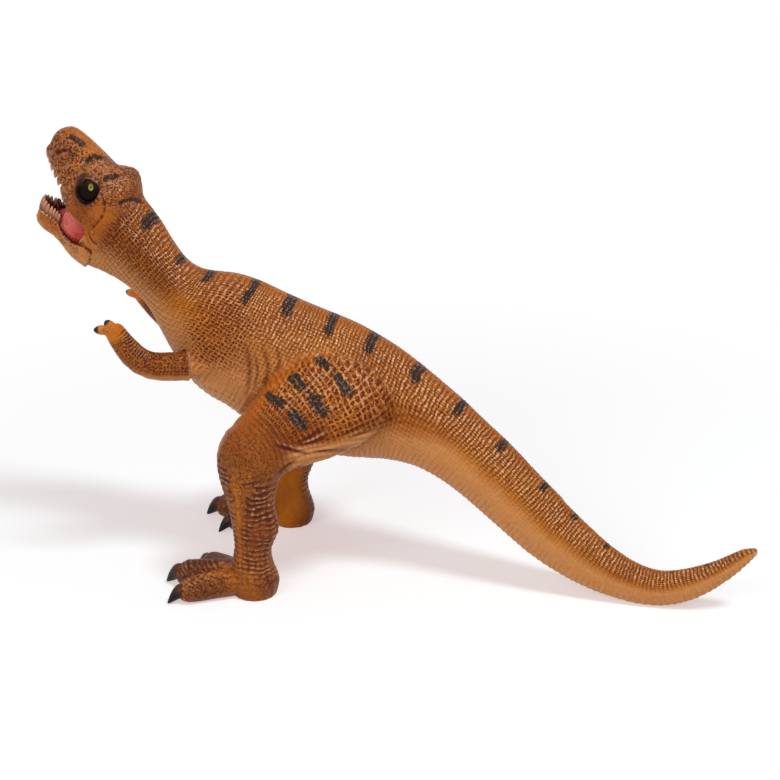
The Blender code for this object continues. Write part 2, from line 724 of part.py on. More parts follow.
def build_arm(name, side, turn=0):
    """One arm, bent at the elbow, with two fingers and a mushroom plug, turned outward in degrees."""
    seam, axis = shoulder_frame(side)
    upright = (Vector((0, 0, 1)) - axis * axis.z).normalized()
    upright.rotate(Quaternion(axis * side, radians(turn)))
    across = axis.cross(upright) * side

    def arm_point(along, up, inward_share=0.0):
        return seam + (axis * along + upright * up + across * inward_share) * arm_length

    rows = arm_shares
    centres = [arm_point(along, up) for along, up, size in rows]
    centres[0] = seam + axis * clearance
    rings = []
    for index, (along, up, size) in enumerate(rows):
        ahead = centres[min(index + 1, len(rows) - 1)] - centres[max(index - 1, 0)]
        ahead = axis if index == 0 else ahead.normalized()
        rings.append(oval(centres[index], across.cross(ahead).normalized(), across,
                          size * arm_radius, size * arm_radius * arm_width_share, limb_sides))
    arm = loft(name, rings, skin)
    for number, (along, up, inner, tip_along, tip_up, tip_inner, size) in enumerate(finger_shares):
        root = arm_point(along, up, inner)
        tip = arm_point(tip_along, tip_up, tip_inner)
        heading = (tip - root).normalized()
        finger_rings = [oval(root + (tip - root) * place, across.cross(heading).normalized(), across,
                             wide * size * finger_thickness / 2,
                             wide * size * finger_thickness / 2 * finger_width_share,
                             small_sides) for place, wide in finger_profile_shares]
        fuse(arm, loft(f"{name}_finger_{number}", finger_rings))
    stem_end = seam - axis * (shoulder_bore_length + clearance)
    head_end = stem_end - axis * shoulder_head_length
    fuse(arm, rod(f"{name}_stem", stem_end - axis * shoulder_head_length / 2, seam + axis * arm_radius,
                  shoulder_stem_radius))
    fuse(arm, rod(f"{name}_head", head_end, stem_end, shoulder_stem_radius, shoulder_head_radius))
    return arm, seam


build_torso()
build_tail()
left_leg = build_leg("left_leg", -1)
mirrored(left_leg, "right_leg", skin)
build_head()
for side, label in ((-1, "left_eye"), (1, "right_eye")):
    eye_form(label, side, 0, dark)
pin_reach = side_vector * (cheek_gap_width / 2 + jaw_pin_seat)
rod("jaw_pin", hinge_centre - pin_reach, hinge_centre + pin_reach, jaw_pin_radius, finish=steel)
hang_on("jaw_hinge_axis", hinge_centre, build_lower_jaw(), build_mouth_insert(), build_tongue())
for side, label, turn in ((-1, "left_arm", 0), (1, "right_arm", right_arm_turn)):
    arm, shoulder = build_arm(label, side, turn)
    hang_on(f"{label}_axis", shoulder, arm)
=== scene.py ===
import json
from contextlib import contextmanager
from math import cos, pi, radians, sin

import bmesh
import bpy
import numpy as np
from mathutils import Matrix, Vector


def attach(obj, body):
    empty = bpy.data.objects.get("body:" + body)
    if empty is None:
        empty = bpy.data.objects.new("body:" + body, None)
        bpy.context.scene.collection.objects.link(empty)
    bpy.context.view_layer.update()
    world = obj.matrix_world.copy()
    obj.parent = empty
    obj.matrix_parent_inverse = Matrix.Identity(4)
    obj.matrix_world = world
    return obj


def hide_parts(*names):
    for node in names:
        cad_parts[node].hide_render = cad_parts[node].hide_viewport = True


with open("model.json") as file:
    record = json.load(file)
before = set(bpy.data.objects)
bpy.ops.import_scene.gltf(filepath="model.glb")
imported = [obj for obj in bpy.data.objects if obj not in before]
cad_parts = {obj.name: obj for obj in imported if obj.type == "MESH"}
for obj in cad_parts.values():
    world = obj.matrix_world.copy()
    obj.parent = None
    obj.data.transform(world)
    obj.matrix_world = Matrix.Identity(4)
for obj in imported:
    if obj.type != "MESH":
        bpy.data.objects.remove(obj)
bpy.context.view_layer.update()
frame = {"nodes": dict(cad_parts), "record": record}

mm = 0.001
leftSide, rightSide = -1, 1


# helpers for point arrays, which are all in millimetres
def limited(values):
    return np.clip(values, 0, 1)


def smoothStep(value, low, high):
    share = limited((value - low) / (high - low))
    return share * share * (3 - 2 * share)


def bell(distance, width):
    return np.exp(-(distance / width) ** 2)


def scrambled(cells, seed):
    # an even scatter from 0 to 1, always the same for the same cell and seed
    mixed = (cells[:, 0] * 73856093) ^ (cells[:, 1] * 19349663)
    mixed = mixed ^ (cells[:, 2] * 83492791) ^ (seed * 2654435)
    mixed = ((mixed & 0x7FFFFFFF) ^ ((mixed & 0x7FFFFFFF) >> 13)) * 1274126177
    return ((mixed >> 8) & 0xFFFFFF) / 0xFFFFFF


def softNoise(points, size, seed=0):
    # smooth value noise from -1 to 1, with lumps about as large as size
    cells = points / size
    base = np.floor(cells).astype(np.int64)
    part = cells - base
    part = part * part * (3 - 2 * part)
    total = np.zeros(len(points))
    for corner in range(8):
        step = np.array([corner & 1, corner >> 1 & 1, corner >> 2 & 1])
        weight = np.prod(np.where(step == 1, part, 1 - part), axis=1)
        total += weight * scrambled(base + step, seed)
    return total * 2 - 1


def layeredNoise(points, size, seed=0, layers=3):
    total = np.zeros(len(points))
    for layer in range(layers):
        total += softNoise(points, size / 2 ** layer, seed + layer) / 2 ** layer
    return total / 1.6


def cellNoise(points, size, seed=0):
    # distances to the nearest and the next scattered point, in cell sizes
    cells = points / size
    base = np.floor(cells).astype(np.int64)
    near = np.full(len(points), 9.0)
    following = np.full(len(points), 9.0)
    for dx in (-1, 0, 1):
        for dy in (-1, 0, 1):
            for dz in (-1, 0, 1):
                spot = base + np.array([dx, dy, dz])
                jitter = np.stack([scrambled(spot, seed + axis) for axis in range(3)], axis=1)
                reach = np.linalg.norm(spot + jitter - cells, axis=1)
                following = np.where(reach < near, near, np.minimum(following, reach))
                near = np.minimum(near, reach)
    return near, following


def curved(points, steps=8):
    # a smooth line through a few points
    rows = np.asarray(points, float)
    out = []
    last = len(rows) - 1
    for index in range(last):
        a, b = rows[max(index - 1, 0)], rows[index]
        c, d = rows[index + 1], rows[min(index + 2, last)]
        for step in range(steps):
            t = step / steps
            out.append(0.5 * (2 * b + (c - a) * t + (2 * a - 5 * b + 4 * c - d) * t ** 2
                              + (3 * b - a - 3 * c + d) * t ** 3))
    out.append(rows[-1])
    return np.array(out)


def lineDistance(flat, path):
    # distance to a line of points, and the share of the line's length there
    path = np.asarray(path, float)
    lengths = np.linalg.norm(np.diff(path, axis=0), axis=1)
    start = np.concatenate([[0], np.cumsum(lengths)])
    best = np.full(len(flat), 1e9)
    share = np.zeros(len(flat))
    for index, (a, b) in enumerate(zip(path, path[1:])):
        edge = b - a
        t = limited((flat - a) @ edge / max(edge @ edge, 1e-9))
        reach = np.linalg.norm(flat - (a + t[:, None] * edge), axis=1)
        closer = reach < best
        best = np.where(closer, reach, best)
        share = np.where(closer, (start[index] + t * lengths[index]) / start[-1], share)
    return best, share


def roundSpot(flat, centre, width):
    # a soft round spot from 0 to 1
    return bell(np.hypot(flat[:, 0] - centre[0], flat[:, 1] - centre[1]), width)


def wave(place, pitch):
    return np.sin(place / pitch * 2 * pi)


def stroke(flat, path, width, taper=0.5):
    # a soft line from 0 to 1, thinner towards its ends
    line = curved(path, 6)
    result = np.zeros(len(flat))
    close = ((flat > line.min(0) - 3 * width) & (flat < line.max(0) + 3 * width)).all(1)
    reach, share = lineDistance(flat[close], line)
    ends = limited(np.sin(pi * np.clip(share, 0.02, 0.98))) ** taper
    result[close] = bell(reach, width) * ends
    return result


def insideDistance(flat, outline):
    # signed distance to a closed outline, positive inside
    outline = np.asarray(outline, float)
    reach, _ = lineDistance(flat, np.vstack([outline, outline[:1]]))
    inside = np.zeros(len(flat), bool)
    for a, b in zip(outline, np.roll(outline, -1, axis=0)):
        crosses = (a[1] > flat[:, 1]) != (b[1] > flat[:, 1])
        rise = b[1] - a[1] if b[1] != a[1] else 1e-9
        inside ^= crosses & (flat[:, 0] < (b[0] - a[0]) * (flat[:, 1] - a[1]) / rise + a[0])
    return np.where(inside, reach, -reach)


def grooves(rows, softness=0.22):
    # 0 on whole numbers and 1 between them
    part = rows - np.floor(rows)
    return smoothStep(np.minimum(part, 1 - part), 0.02, softness)


def readFlat(items, label, width, kind=np.float32):
    # one value of every item, read at once, in rows of this width
    flat = np.empty(len(items) * width, kind)
    items.foreach_get(label, flat)
    return flat.reshape(-1, width)


def readPoints(mesh):
    return readFlat(mesh.vertices, "co", 3).astype(float) / mm


def writePoints(mesh, points):
    mesh.vertices.foreach_set("co", (np.asarray(points) * mm).astype(np.float32).ravel())
    mesh.update()


def readNormals(mesh):
    return readFlat(mesh.vertex_normals, "vector", 3).astype(float)


def readEdges(mesh):
    return readFlat(mesh.edges, "vertices", 2, np.int32)


def storeValues(mesh, name, values):
    layer = mesh.attributes.get(name) or mesh.attributes.new(name, "FLOAT", "POINT")
    layer.data.foreach_set("value", np.asarray(values, np.float32))


def addPiece(name, mesh, finish=None):
    made = bpy.data.objects.new(name, mesh)
    bpy.context.scene.collection.objects.link(made)
    if finish is not None:
        mesh.materials.append(finish)
    mesh.shade_smooth()
    return made


@contextmanager
def editing(mesh):
    # the mesh opened in bmesh, and written back at the end
    form = bmesh.new()
    form.from_mesh(mesh)
    yield form
    form.to_mesh(mesh)
    form.free()
    mesh.update()


def finished(holder):
    # the mesh with its modifiers applied; the holder goes
    view = bpy.context.evaluated_depsgraph_get()
    mesh = bpy.data.meshes.new_from_object(holder.evaluated_get(view))
    bpy.data.objects.remove(holder)
    return mesh


def faceCorners(mesh):
    # the corners of each face in four columns, and how many it has
    starts = readFlat(mesh.polygons, "loop_start", 1, np.int32)
    sizes = readFlat(mesh.polygons, "loop_total", 1, np.int32)
    loops = readFlat(mesh.loops, "vertex_index", 1, np.int32)[:, 0]
    return loops[starts + np.minimum(np.arange(4)[None], sizes - 1)], sizes[:, 0]


def fusedMesh(name, parts, voxel):
    # one closed skin round several meshes
    corners, faces, count = [], [], 0
    for data in parts:
        data.calc_loop_triangles()
        corners.append(readPoints(data) * mm)
        faces.append(readFlat(data.loop_triangles, "vertices", 3, np.int32) + count)
        count += len(data.vertices)
    mesh = bpy.data.meshes.new(name)
    mesh.from_pydata(np.concatenate(corners).tolist(), [], np.concatenate(faces).tolist())
    holder = addPiece(name, mesh)
    step = holder.modifiers.new("fuse", "REMESH")
    step.mode = "VOXEL"
    step.voxel_size = voxel
    return finished(holder)


def shellLabels(count, edges):
    # one number for each connected shell
    label = np.arange(count)
    while True:
        before = label.copy()
        lowest = np.minimum(label[edges[:, 0]], label[edges[:, 1]])
        np.minimum.at(label, edges[:, 0], lowest)
        np.minimum.at(label, edges[:, 1], lowest)
        label = label[label]
        if (before == label).all():
            return label


def mergedIslands(label, edges):
    # a stray island takes the number of what surrounds it
    label = label.copy()
    shell = shellLabels(len(label), edges[label[edges[:, 0]] == label[edges[:, 1]]])
    names, place, sizes = np.unique(shell, return_inverse=True, return_counts=True)
    main = np.zeros(len(names), bool)
    for value in np.unique(label):
        group = np.nonzero(label[names] == value)[0]
        main[group[sizes[group].argmax()]] = True
    stray = ~main[place]
    for _ in range(400):
        changed = []
        for first, second in (edges.T, edges.T[::-1]):
            grow = stray[first] & ~stray[second]
            label[first[grow]] = label[second[grow]]
            changed.append(first[grow])
        changed = np.concatenate(changed)
        if not len(changed):
            break
        stray[changed] = False
    return label


def keepLargestShell(mesh):
    label = shellLabels(len(mesh.vertices), readEdges(mesh))
    names, sizes = np.unique(label, return_counts=True)
    strays = np.nonzero(label != names[sizes.argmax()])[0]
    with editing(mesh) as form:
        form.verts.ensure_lookup_table()
        bmesh.ops.delete(form, geom=[form.verts[index] for index in strays], context="VERTS")


def softened(mesh, points, weights, rounds):
    # Blender's own Smooth on an array of points, held back where the weights are low
    copy = mesh.copy()
    copy.vertices.foreach_set("co", points.astype(np.float32).ravel())
    holder = addPiece("softening", copy)
    group = holder.vertex_groups.new(name="soften")
    levels = np.round(limited(weights), 2)
    for level in np.unique(levels):
        if level > 0:
            group.add(np.nonzero(levels == level)[0].tolist(), float(level), "REPLACE")
    step = holder.modifiers.new("smooth", "SMOOTH")
    step.factor = 0.5
    step.iterations = rounds
    step.vertex_group = "soften"
    result = finished(holder)
    relaxed = readFlat(result.vertices, "co", 3).astype(float)
    bpy.data.meshes.remove(result)
    return relaxed


def relaxFacets(mesh, weights, rounds):
    # smooth, then give back most of the volume that smoothing took
    points = readPoints(mesh)
    once = softened(mesh, points, weights, rounds)
    again = softened(mesh, points - once, weights, rounds)
    writePoints(mesh, once + again)


def refineFaces(mesh, chosen):
    # the chosen faces are cut in four, for finer relief
    with editing(mesh) as form:
        form.faces.ensure_lookup_table()
        edges = {edge for index in np.nonzero(chosen)[0] for edge in form.faces[index].edges}
        bmesh.ops.subdivide_edges(form, edges=list(edges), cuts=1, use_grid_fill=True)
        bmesh.ops.triangulate(form, faces=[face for face in form.faces if len(face.verts) > 4])


def hollowness(mesh):
    # above 0 in creases and below 0 on ridges, by the mean of the neighbours
    points, normals, edges = readPoints(mesh), readNormals(mesh), readEdges(mesh)
    count = len(points)
    degree = np.maximum(np.bincount(edges.ravel(), minlength=count), 1)

    def neighbourMean(values):
        total = np.bincount(edges[:, 0], values[edges[:, 1]], count)
        return (total + np.bincount(edges[:, 1], values[edges[:, 0]], count)) / degree

    centre = np.stack([neighbourMean(points[:, axis]) for axis in range(3)], axis=1)
    spacing = np.linalg.norm(points[edges[:, 0]] - points[edges[:, 1]], axis=1)
    size = (np.bincount(edges[:, 0], spacing, count) + np.bincount(edges[:, 1], spacing, count)) / degree
    bend = np.einsum("ij,ij->i", centre - points, normals) / np.maximum(size, 1e-6) ** 2
    for _ in range(2):
        bend = 0.5 * bend + 0.5 * neighbourMean(bend)
    return bend


def unit(direction):
    return np.asarray(direction, float) / np.linalg.norm(direction)


def ringFaces(rings, spots):
    # the quads between rings of points
    return [(ring * spots + step, ring * spots + (step + 1) % spots,
             (ring + 1) * spots + (step + 1) % spots, (ring + 1) * spots + step)
            for ring in range(rings) for step in range(spots)]


def sweptForm(centres, halves, across, sides=12):
    # a closed tube along a line: points, faces, and how far along each point is
    centres = np.asarray(centres, float)
    headings = np.gradient(centres, axis=0)
    angles = np.arange(sides) / sides * 2 * pi
    points, shares = [], []
    for index, (centre, heading, (wide, deep)) in enumerate(zip(centres, headings, halves)):
        up = unit(np.cross(heading, across))
        flat = unit(np.cross(up, heading))
        for angle in angles:
            points.append(centre + flat * wide * cos(angle) + up * deep * sin(angle))
            shares.append(index / (len(centres) - 1))
    faces = ringFaces(len(centres) - 1, sides)
    faces.append(tuple(range(sides)))
    faces.append(tuple(range(len(points) - sides, len(points))))
    return points, faces, shares


def formsMesh(name, forms):
    # several closed forms in one mesh, and the share of every point
    points, faces, shares = [], [], []
    for formPoints, formFaces, formShares in forms:
        faces += [tuple(corner + len(points) for corner in face) for face in formFaces]
        points += [tuple(np.asarray(point) * mm) for point in formPoints]
        shares += list(formShares)
    mesh = bpy.data.meshes.new(name)
    mesh.from_pydata(points, [], faces)
    with editing(mesh) as form:
        bmesh.ops.recalc_face_normals(form, faces=form.faces[:])
    return mesh, np.array(shares)


def addNode(tree, kind, **settings):
    # a shader node, placed on a grid so that the tree can be read
    made = tree.nodes.new(kind)
    made.location = (len(tree.nodes) % 12 * 190, -(len(tree.nodes) // 12) * 260)
    for key, value in settings.items():
        setattr(made, key, value)
    return made


def feed(tree, socket, value):
    if isinstance(value, bpy.types.NodeSocket):
        tree.links.new(value, socket)
    elif value is not None:
        socket.default_value = value


def calc(tree, operation, *values):
    made = addNode(tree, "ShaderNodeMath", operation=operation)
    for socket, value in zip(made.inputs, values):
        feed(tree, socket, value)
    return made.outputs[0]


def times(tree, first, *others):
    for other in others:
        first = calc(tree, "MULTIPLY", first, other)
    return first


def flipped(tree, value):
    return calc(tree, "SUBTRACT", 1.0, value)


def blendColour(tree, factor, first, second):
    made = addNode(tree, "ShaderNodeMix", data_type="RGBA")
    for index, value in ((0, factor), (6, first), (7, second)):
        feed(tree, made.inputs[index], value)
    return made.outputs[2]


def blendValue(tree, factor, first, second):
    made = addNode(tree, "ShaderNodeMix", data_type="FLOAT")
    for index, value in ((0, factor), (2, first), (3, second)):
        feed(tree, made.inputs[index], value)
    return made.outputs[0]


def fade(tree, value, low, high, toLow=0.0, toHigh=1.0):
    made = addNode(tree, "ShaderNodeMapRange", interpolation_type="SMOOTHSTEP")
    for index, setting in enumerate((value, low, high, toLow, toHigh)):
        feed(tree, made.inputs[index], setting)
    return made.outputs[0]


def meshValue(tree, name):
    return addNode(tree, "ShaderNodeAttribute", attribute_name=name).outputs["Fac"]


def noiseOutputs(tree, place, scale, detail=2.0, roughness=0.5):
    made = addNode(tree, "ShaderNodeTexNoise")
    for label, given in (("Vector", place), ("Scale", scale), ("Detail", detail), ("Roughness", roughness)):
        feed(tree, made.inputs[label], given)
    return made.outputs


def noiseValue(tree, place, scale, detail=3.0):
    return noiseOutputs(tree, place, scale, detail, 0.55)[0]


def newGroup(name, inputs, outputs):
    group = bpy.data.node_groups.new(name, "ShaderNodeTree")
    for label, kind, default in inputs:
        socket = group.interface.new_socket(name=label, in_out="INPUT", socket_type=kind)
        if default is not None:
            socket.default_value = default
    for label, kind in outputs:
        group.interface.new_socket(name=label, in_out="OUTPUT", socket_type=kind)
    return group, addNode(group, "NodeGroupInput").outputs, addNode(group, "NodeGroupOutput").inputs


def addBump(tree, shader, height, distance):
    bump = addNode(tree, "ShaderNodeBump")
    bump.inputs["Distance"].default_value = distance
    feed(tree, bump.inputs["Height"], height)
    feed(tree, shader.inputs["Normal"], bump.outputs[0])


def setPlain(shader, **values):
    # values that are the same all over, each on the shader's own socket
    for label, value in values.items():
        shader.inputs[label.replace("_", " ")].default_value = value


def useGroup(tree, group, **values):
    made = addNode(tree, "ShaderNodeGroup", node_tree=group)
    for label, value in values.items():
        feed(tree, made.inputs[label], value)
    return made.outputs


def newMaterial(name):
    made = bpy.data.materials.new(name)
    made.use_nodes = True
    tree = made.node_tree
    shader = tree.nodes["Principled BSDF"]
    place = addNode(tree, "ShaderNodeTexCoord").outputs["Object"]
    return made, tree, shader, place


def srgb(*levels):
    channels = [level / 255 for level in levels]
    return tuple(c / 12.92 if c <= 0.04045 else ((c + 0.055) / 1.055) ** 2.4 for c in channels) + (1.0,)


number, vector = "NodeSocketFloat", "NodeSocketVector"

# fades are from, to and, where they aren't 0 and 1, the values at both ends
hatchLook = {
    "warpScale": 520.0, "wearScale": 760.0, "patchScale": 300.0, "raggedness": 1.3,
    "beadRow": (0.02, 0.70), "beadBand": (0.0, 0.5, 0.45, 1.0),
    "netRow": (0.52, 0.92), "netBand": (0.54, 0.92), "netBandHeight": 0.9,
    "heightWear": (0.30, 0.60, 0.70, 1.0),
    "rowCut": (0.06, 0.44), "rowWear": (0.36, 0.52, 0.25, 1.0),
    "bandCut": (0.02, 0.36), "bandPatch": (0.36, 0.56, 0.25, 0.9),
    "cell": (0.10, 0.62), "cellWear": (0.34, 0.56, 0.30, 1.0),
    "crestRow": (0.60, 0.94), "crestBand": (0.22, 0.60, 0.1, 1.0),
    "crestNet": (0.60, 1.0, 0.0, 0.60), "crestWear": (0.42, 0.58, 0.12, 1.0),
}


def buildHatchGroup():
    # moulded ridges on the halves of Row and Band: beads where Net is 0,
    # a raised net round dark cells where it is 1
    group, given, result = newGroup(
        "scaleHatch",
        [("Row", number, 0.0), ("Band", number, 0.0), ("Place", vector, None), ("Unevenness", number, 0.5),
         ("Net", number, 0.0)],
        [("Height", number), ("Groove", number), ("Crest", number)])
    apart = addNode(group, "ShaderNodeSeparateXYZ")
    feed(group, apart.inputs[0], noiseOutputs(group, given["Place"], hatchLook["warpScale"])["Color"])

    def rise(source, shift):
        moved = times(group, calc(group, "SUBTRACT", shift, 0.5), given["Unevenness"])
        part = calc(group, "FRACT", calc(group, "ADD", source, moved))
        return times(group, calc(group, "MINIMUM", part, flipped(group, part)), 2.0)

    def faded(source, name):
        return fade(group, source, *hatchLook[name])

    def mixed(bead, net):
        return blendValue(group, given["Net"], bead, net)

    wear = noiseValue(group, given["Place"], hatchLook["wearScale"], 2.0)
    patch = noiseValue(group, given["Place"], hatchLook["patchScale"], 1.0)
    ragged = times(group, calc(group, "SUBTRACT", wear, 0.5), hatchLook["raggedness"])
    row = calc(group, "ADD", rise(given["Row"], apart.outputs["X"]), ragged)
    band = calc(group, "ADD", rise(given["Band"], apart.outputs["Y"]), ragged)
    bead = times(group, faded(row, "beadRow"), faded(band, "beadBand"))
    netBand = times(group, faded(band, "netBand"), hatchLook["netBandHeight"])
    net = calc(group, "MAXIMUM", faded(row, "netRow"), netBand)
    feed(group, result["Height"], times(group, mixed(bead, net), faded(wear, "heightWear")))
    rowCut = times(group, flipped(group, faded(row, "rowCut")), faded(wear, "rowWear"))
    bandCut = times(group, flipped(group, faded(band, "bandCut")), faded(patch, "bandPatch"))
    cell = times(group, flipped(group, faded(net, "cell")), faded(wear, "cellWear"))
    feed(group, result["Groove"], mixed(calc(group, "MAXIMUM", rowCut, bandCut), cell))
    # the crests of the rows, where the painted highlights go
    line = times(group, faded(row, "crestRow"), faded(band, "crestBand"))
    crest = mixed(line, faded(net, "crestNet"))
    feed(group, result["Crest"], times(group, crest, faded(wear, "crestWear")))
    return group


pitLook = {"warpScale": 1100.0, "warpReach": 0.0015, "pit": (0.24, 0.52), "rim": (0.50, 0.66)}


def buildPitGroup():
    # small round pits scattered evenly
    group, given, result = newGroup("skinPits", [("Place", vector, None), ("Scale", number, 800.0)],
                                    [("Pit", number), ("Rim", number)])
    moved = addNode(group, "ShaderNodeVectorMath", operation="SCALE")
    feed(group, moved.inputs[0], noiseOutputs(group, given["Place"], pitLook["warpScale"])["Color"])
    moved.inputs["Scale"].default_value = pitLook["warpReach"]
    place = addNode(group, "ShaderNodeVectorMath", operation="ADD")
    feed(group, place.inputs[0], given["Place"])
    feed(group, place.inputs[1], moved.outputs[0])
    cells = addNode(group, "ShaderNodeTexVoronoi", feature="F1")
    feed(group, cells.inputs["Vector"], place.outputs[0])
    feed(group, cells.inputs["Scale"], given["Scale"])
    feed(group, result["Pit"], flipped(group, fade(group, cells.outputs["Distance"], *pitLook["pit"])))
    feed(group, result["Rim"], fade(group, cells.outputs["Distance"], *pitLook["rim"]))
    return group


# scale and detail of the noise, and where it fades in
mottleLook = {"Broad": (45, 3.0, 0.35, 0.65), "Fine": (420, 3.0, 0.30, 0.70)}


def buildMottleGroup():
    # uneven hand-laid paint: broad patches and fine ones
    group, given, result = newGroup("paintMottle", [("Place", vector, None)],
                                    [(name, number) for name in mottleLook])
    for name, (scale, detail, low, high) in mottleLook.items():
        feed(group, result[name], fade(group, noiseValue(group, given["Place"], scale, detail), low, high))
    return group


def buildGrainGroup():
    # the fine unevenness of a moulded, brushed surface
    group, given, result = newGroup("mouldGrain", [("Place", vector, None), ("Scale", number, 1800.0)],
                                    [("Height", number)])
    feed(group, result["Height"], noiseOutputs(group, given["Place"], given["Scale"], 3.0)[0])
    return group


hatchGroup = buildHatchGroup()
pitGroup = buildPitGroup()
mottleGroup = buildMottleGroup()
grainGroup = buildGrainGroup()

skinPaint = {
    "ochre": srgb(206, 122, 24),
    "deepOchre": srgb(172, 90, 8),
    "orange": srgb(214, 116, 18),
    "belly": srgb(216, 146, 84),
    # dark paint for pits and marks, also the painted shade in hollows
    "washAndShade": srgb(84, 32, 6),
    # red-brown paint in the grooves, also painted shade on the neck side, the cheek and in folds
    "redWashAndShade": srgb(96, 28, 4),
    # pale paint on crests, also the painted highlights and glints
    "highlight": srgb(250, 200, 160),
    # pink paint, also the painted highlight on rims and on the arm's crests
    "blush": srgb(232, 166, 132),
    "stripe": srgb(34, 26, 25),
    "black": srgb(18, 11, 8),
    "mouth": srgb(104, 30, 22),
    "unevenness": {"body": 1.0, "thigh": 1.0, "shin": 0.9},
    "fineShare": 0.35,           # how far fine patches darken the ochre
    "rimShare": 0.18,            # pale rims round the pits
    "stripeCrestHighlight": 0.16,          # how far a painted highlight lightens the dark marks on raised crests
    "roughness": 0.30, "cutRoughness": 0.25, "patchRoughness": 0.14,
    "specular": 0.16,
    "reliefDepth": 0.00050,      # metres
    "grainHeight": 0.16, "pitDepth": 0.9,      # as shares of the relief
    "pitScale": 1020.0, "grainScale": 2400.0,
    # fades of painted shade in cavities, painted highlight on ridges, marks and painted glints, written as in
    # hatchLook
    "inHollows": (0.02, 0.36, 0.0, 0.85), "onRidges": (-0.06, -0.40, 0.0, 0.45),
    "marks": (0.20, 0.85, 0.0, 0.94), "glints": (0.1, 0.6, 0.0, 0.24),
}


def buildSkinMaterial():
    made, tree, shader, place = newMaterial("paintedSkin")
    mottle = useGroup(tree, mottleGroup, Place=place)
    legMask, shinMask, net = (meshValue(tree, name) for name in ("legMask", "shinMask", "netMask"))
    body, thigh, shin = (
        useGroup(tree, hatchGroup, Row=meshValue(tree, region + "Row"), Band=meshValue(tree, region + "Band"),
                 Place=place, Unevenness=uneven, Net=net)
        for region, uneven in skinPaint["unevenness"].items())
    height, groove, crest = (
        blendValue(tree, shinMask, blendValue(tree, legMask, body[label], thigh[label]), shin[label])
        for label in ("Height", "Groove", "Crest"))
    hatch, pitMask, cavity = (meshValue(tree, name) for name in ("hatchMask", "pitMask", "cavity"))
    pits = useGroup(tree, pitGroup, Place=place, Scale=skinPaint["pitScale"])
    groove, crest = times(tree, groove, hatch), times(tree, crest, hatch)

    # dark marks, lighter on the raised crests as a painted highlight
    unevenPaint = times(tree, calc(tree, "SUBTRACT", mottle["Fine"], 0.5), 0.45)
    stripe = calc(tree, "ADD", meshValue(tree, "stripeMask"), unevenPaint)
    stripe = calc(tree, "SUBTRACT", stripe, times(tree, crest, skinPaint["stripeCrestHighlight"]))

    # the coats of paint, painted shade and painted highlights among them, the first one lowest
    bellyWear = fade(tree, mottle["Fine"], 0.0, 1.0, 1.0, 0.80)
    coats = [
        (mottle["Broad"], "deepOchre"),
        (times(tree, mottle["Fine"], skinPaint["fineShare"]), "deepOchre"),
        (meshValue(tree, "orangeMask"), "orange"),
        (times(tree, meshValue(tree, "bellyMask"), bellyWear), "belly"),
        (times(tree, groove, meshValue(tree, "washMask")), "redWashAndShade"),
        (times(tree, pits["Pit"], fade(tree, pitMask, 0.0, 0.7)), "washAndShade"),
        (times(tree, pits["Rim"], pitMask, skinPaint["rimShare"]), "blush"),
        # a dark wash in the hollows, with painted shade there
        (fade(tree, cavity, *skinPaint["inHollows"]), "washAndShade"),
        # red-brown paint, with painted shade on the neck side, the cheek and in the folds
        (meshValue(tree, "redPaintAndShade"), "redWashAndShade"),
        # dark paint, with painted shade along the jaw's tooth line and round the cheek lens
        (meshValue(tree, "darkPaintAndShade"), "washAndShade"),
        # drybrushed paint on the crests, with a painted highlight where the top catches the light
        (times(tree, crest, meshValue(tree, "dryBrushAndHighlight")), "highlight"),
        # painted highlight on the ridges
        (fade(tree, cavity, *skinPaint["onRidges"]), "highlight"),
        # pink paint, with a painted highlight on rims and on the arm's crests
        (meshValue(tree, "blushAndHighlight"), "blush"),
        (fade(tree, stripe, *skinPaint["marks"]), "stripe"),
        # painted glints on the crests of the dark marks
        (times(tree, crest, fade(tree, stripe, *skinPaint["glints"])), "highlight"),
        (meshValue(tree, "mouthMask"), "mouth"),
        (meshValue(tree, "blackPaint"), "black"),
    ]
    base = skinPaint["ochre"]
    for share, paint in coats:
        base = blendColour(tree, share, base, skinPaint[paint])
    feed(tree, shader.inputs["Base Color"], base)

    pitted = times(tree, pits["Pit"], pitMask)
    smooth = skinPaint["roughness"]
    rough = blendValue(tree, calc(tree, "MAXIMUM", groove, pitted), smooth, smooth + skinPaint["cutRoughness"])
    rough = blendValue(tree, times(tree, mottle["Broad"], 0.5), rough, smooth + skinPaint["patchRoughness"])
    feed(tree, shader.inputs["Roughness"], rough)
    grain = useGroup(tree, grainGroup, Place=place, Scale=skinPaint["grainScale"])
    fineGrain = times(tree, grain["Height"], skinPaint["grainHeight"])
    relief = calc(tree, "ADD", times(tree, height, hatch), fineGrain)
    relief = calc(tree, "SUBTRACT", relief, times(tree, pitted, skinPaint["pitDepth"]))
    addBump(tree, shader, relief, skinPaint["reliefDepth"])
    setPlain(shader, Specular_IOR_Level=skinPaint["specular"])
    return made


smallPaints = {
    # paint at the root, at the tip and in the lines, then roughness and coat
    "toothPaint": (srgb(190, 118, 78), srgb(226, 172, 138), srgb(110, 48, 28), 0.30, 0.0),
    "clawPaint": (srgb(92, 42, 18), srgb(22, 11, 8), srgb(34, 16, 8), 0.26, 0.0),
    "mouthPaint": (srgb(240, 124, 108), srgb(200, 62, 46), srgb(136, 30, 20), 0.32, 0.1),
    "tonguePaint": (srgb(128, 34, 26), srgb(104, 18, 14), srgb(62, 10, 8), 0.30, 0.15),
}
smallFinish = {"patchShare": 0.25, "patchRoughness": 0.12, "grainScale": 900.0, "grainDepth": 0.00012,
               "specular": 0.22, "coatRoughness": 0.15}


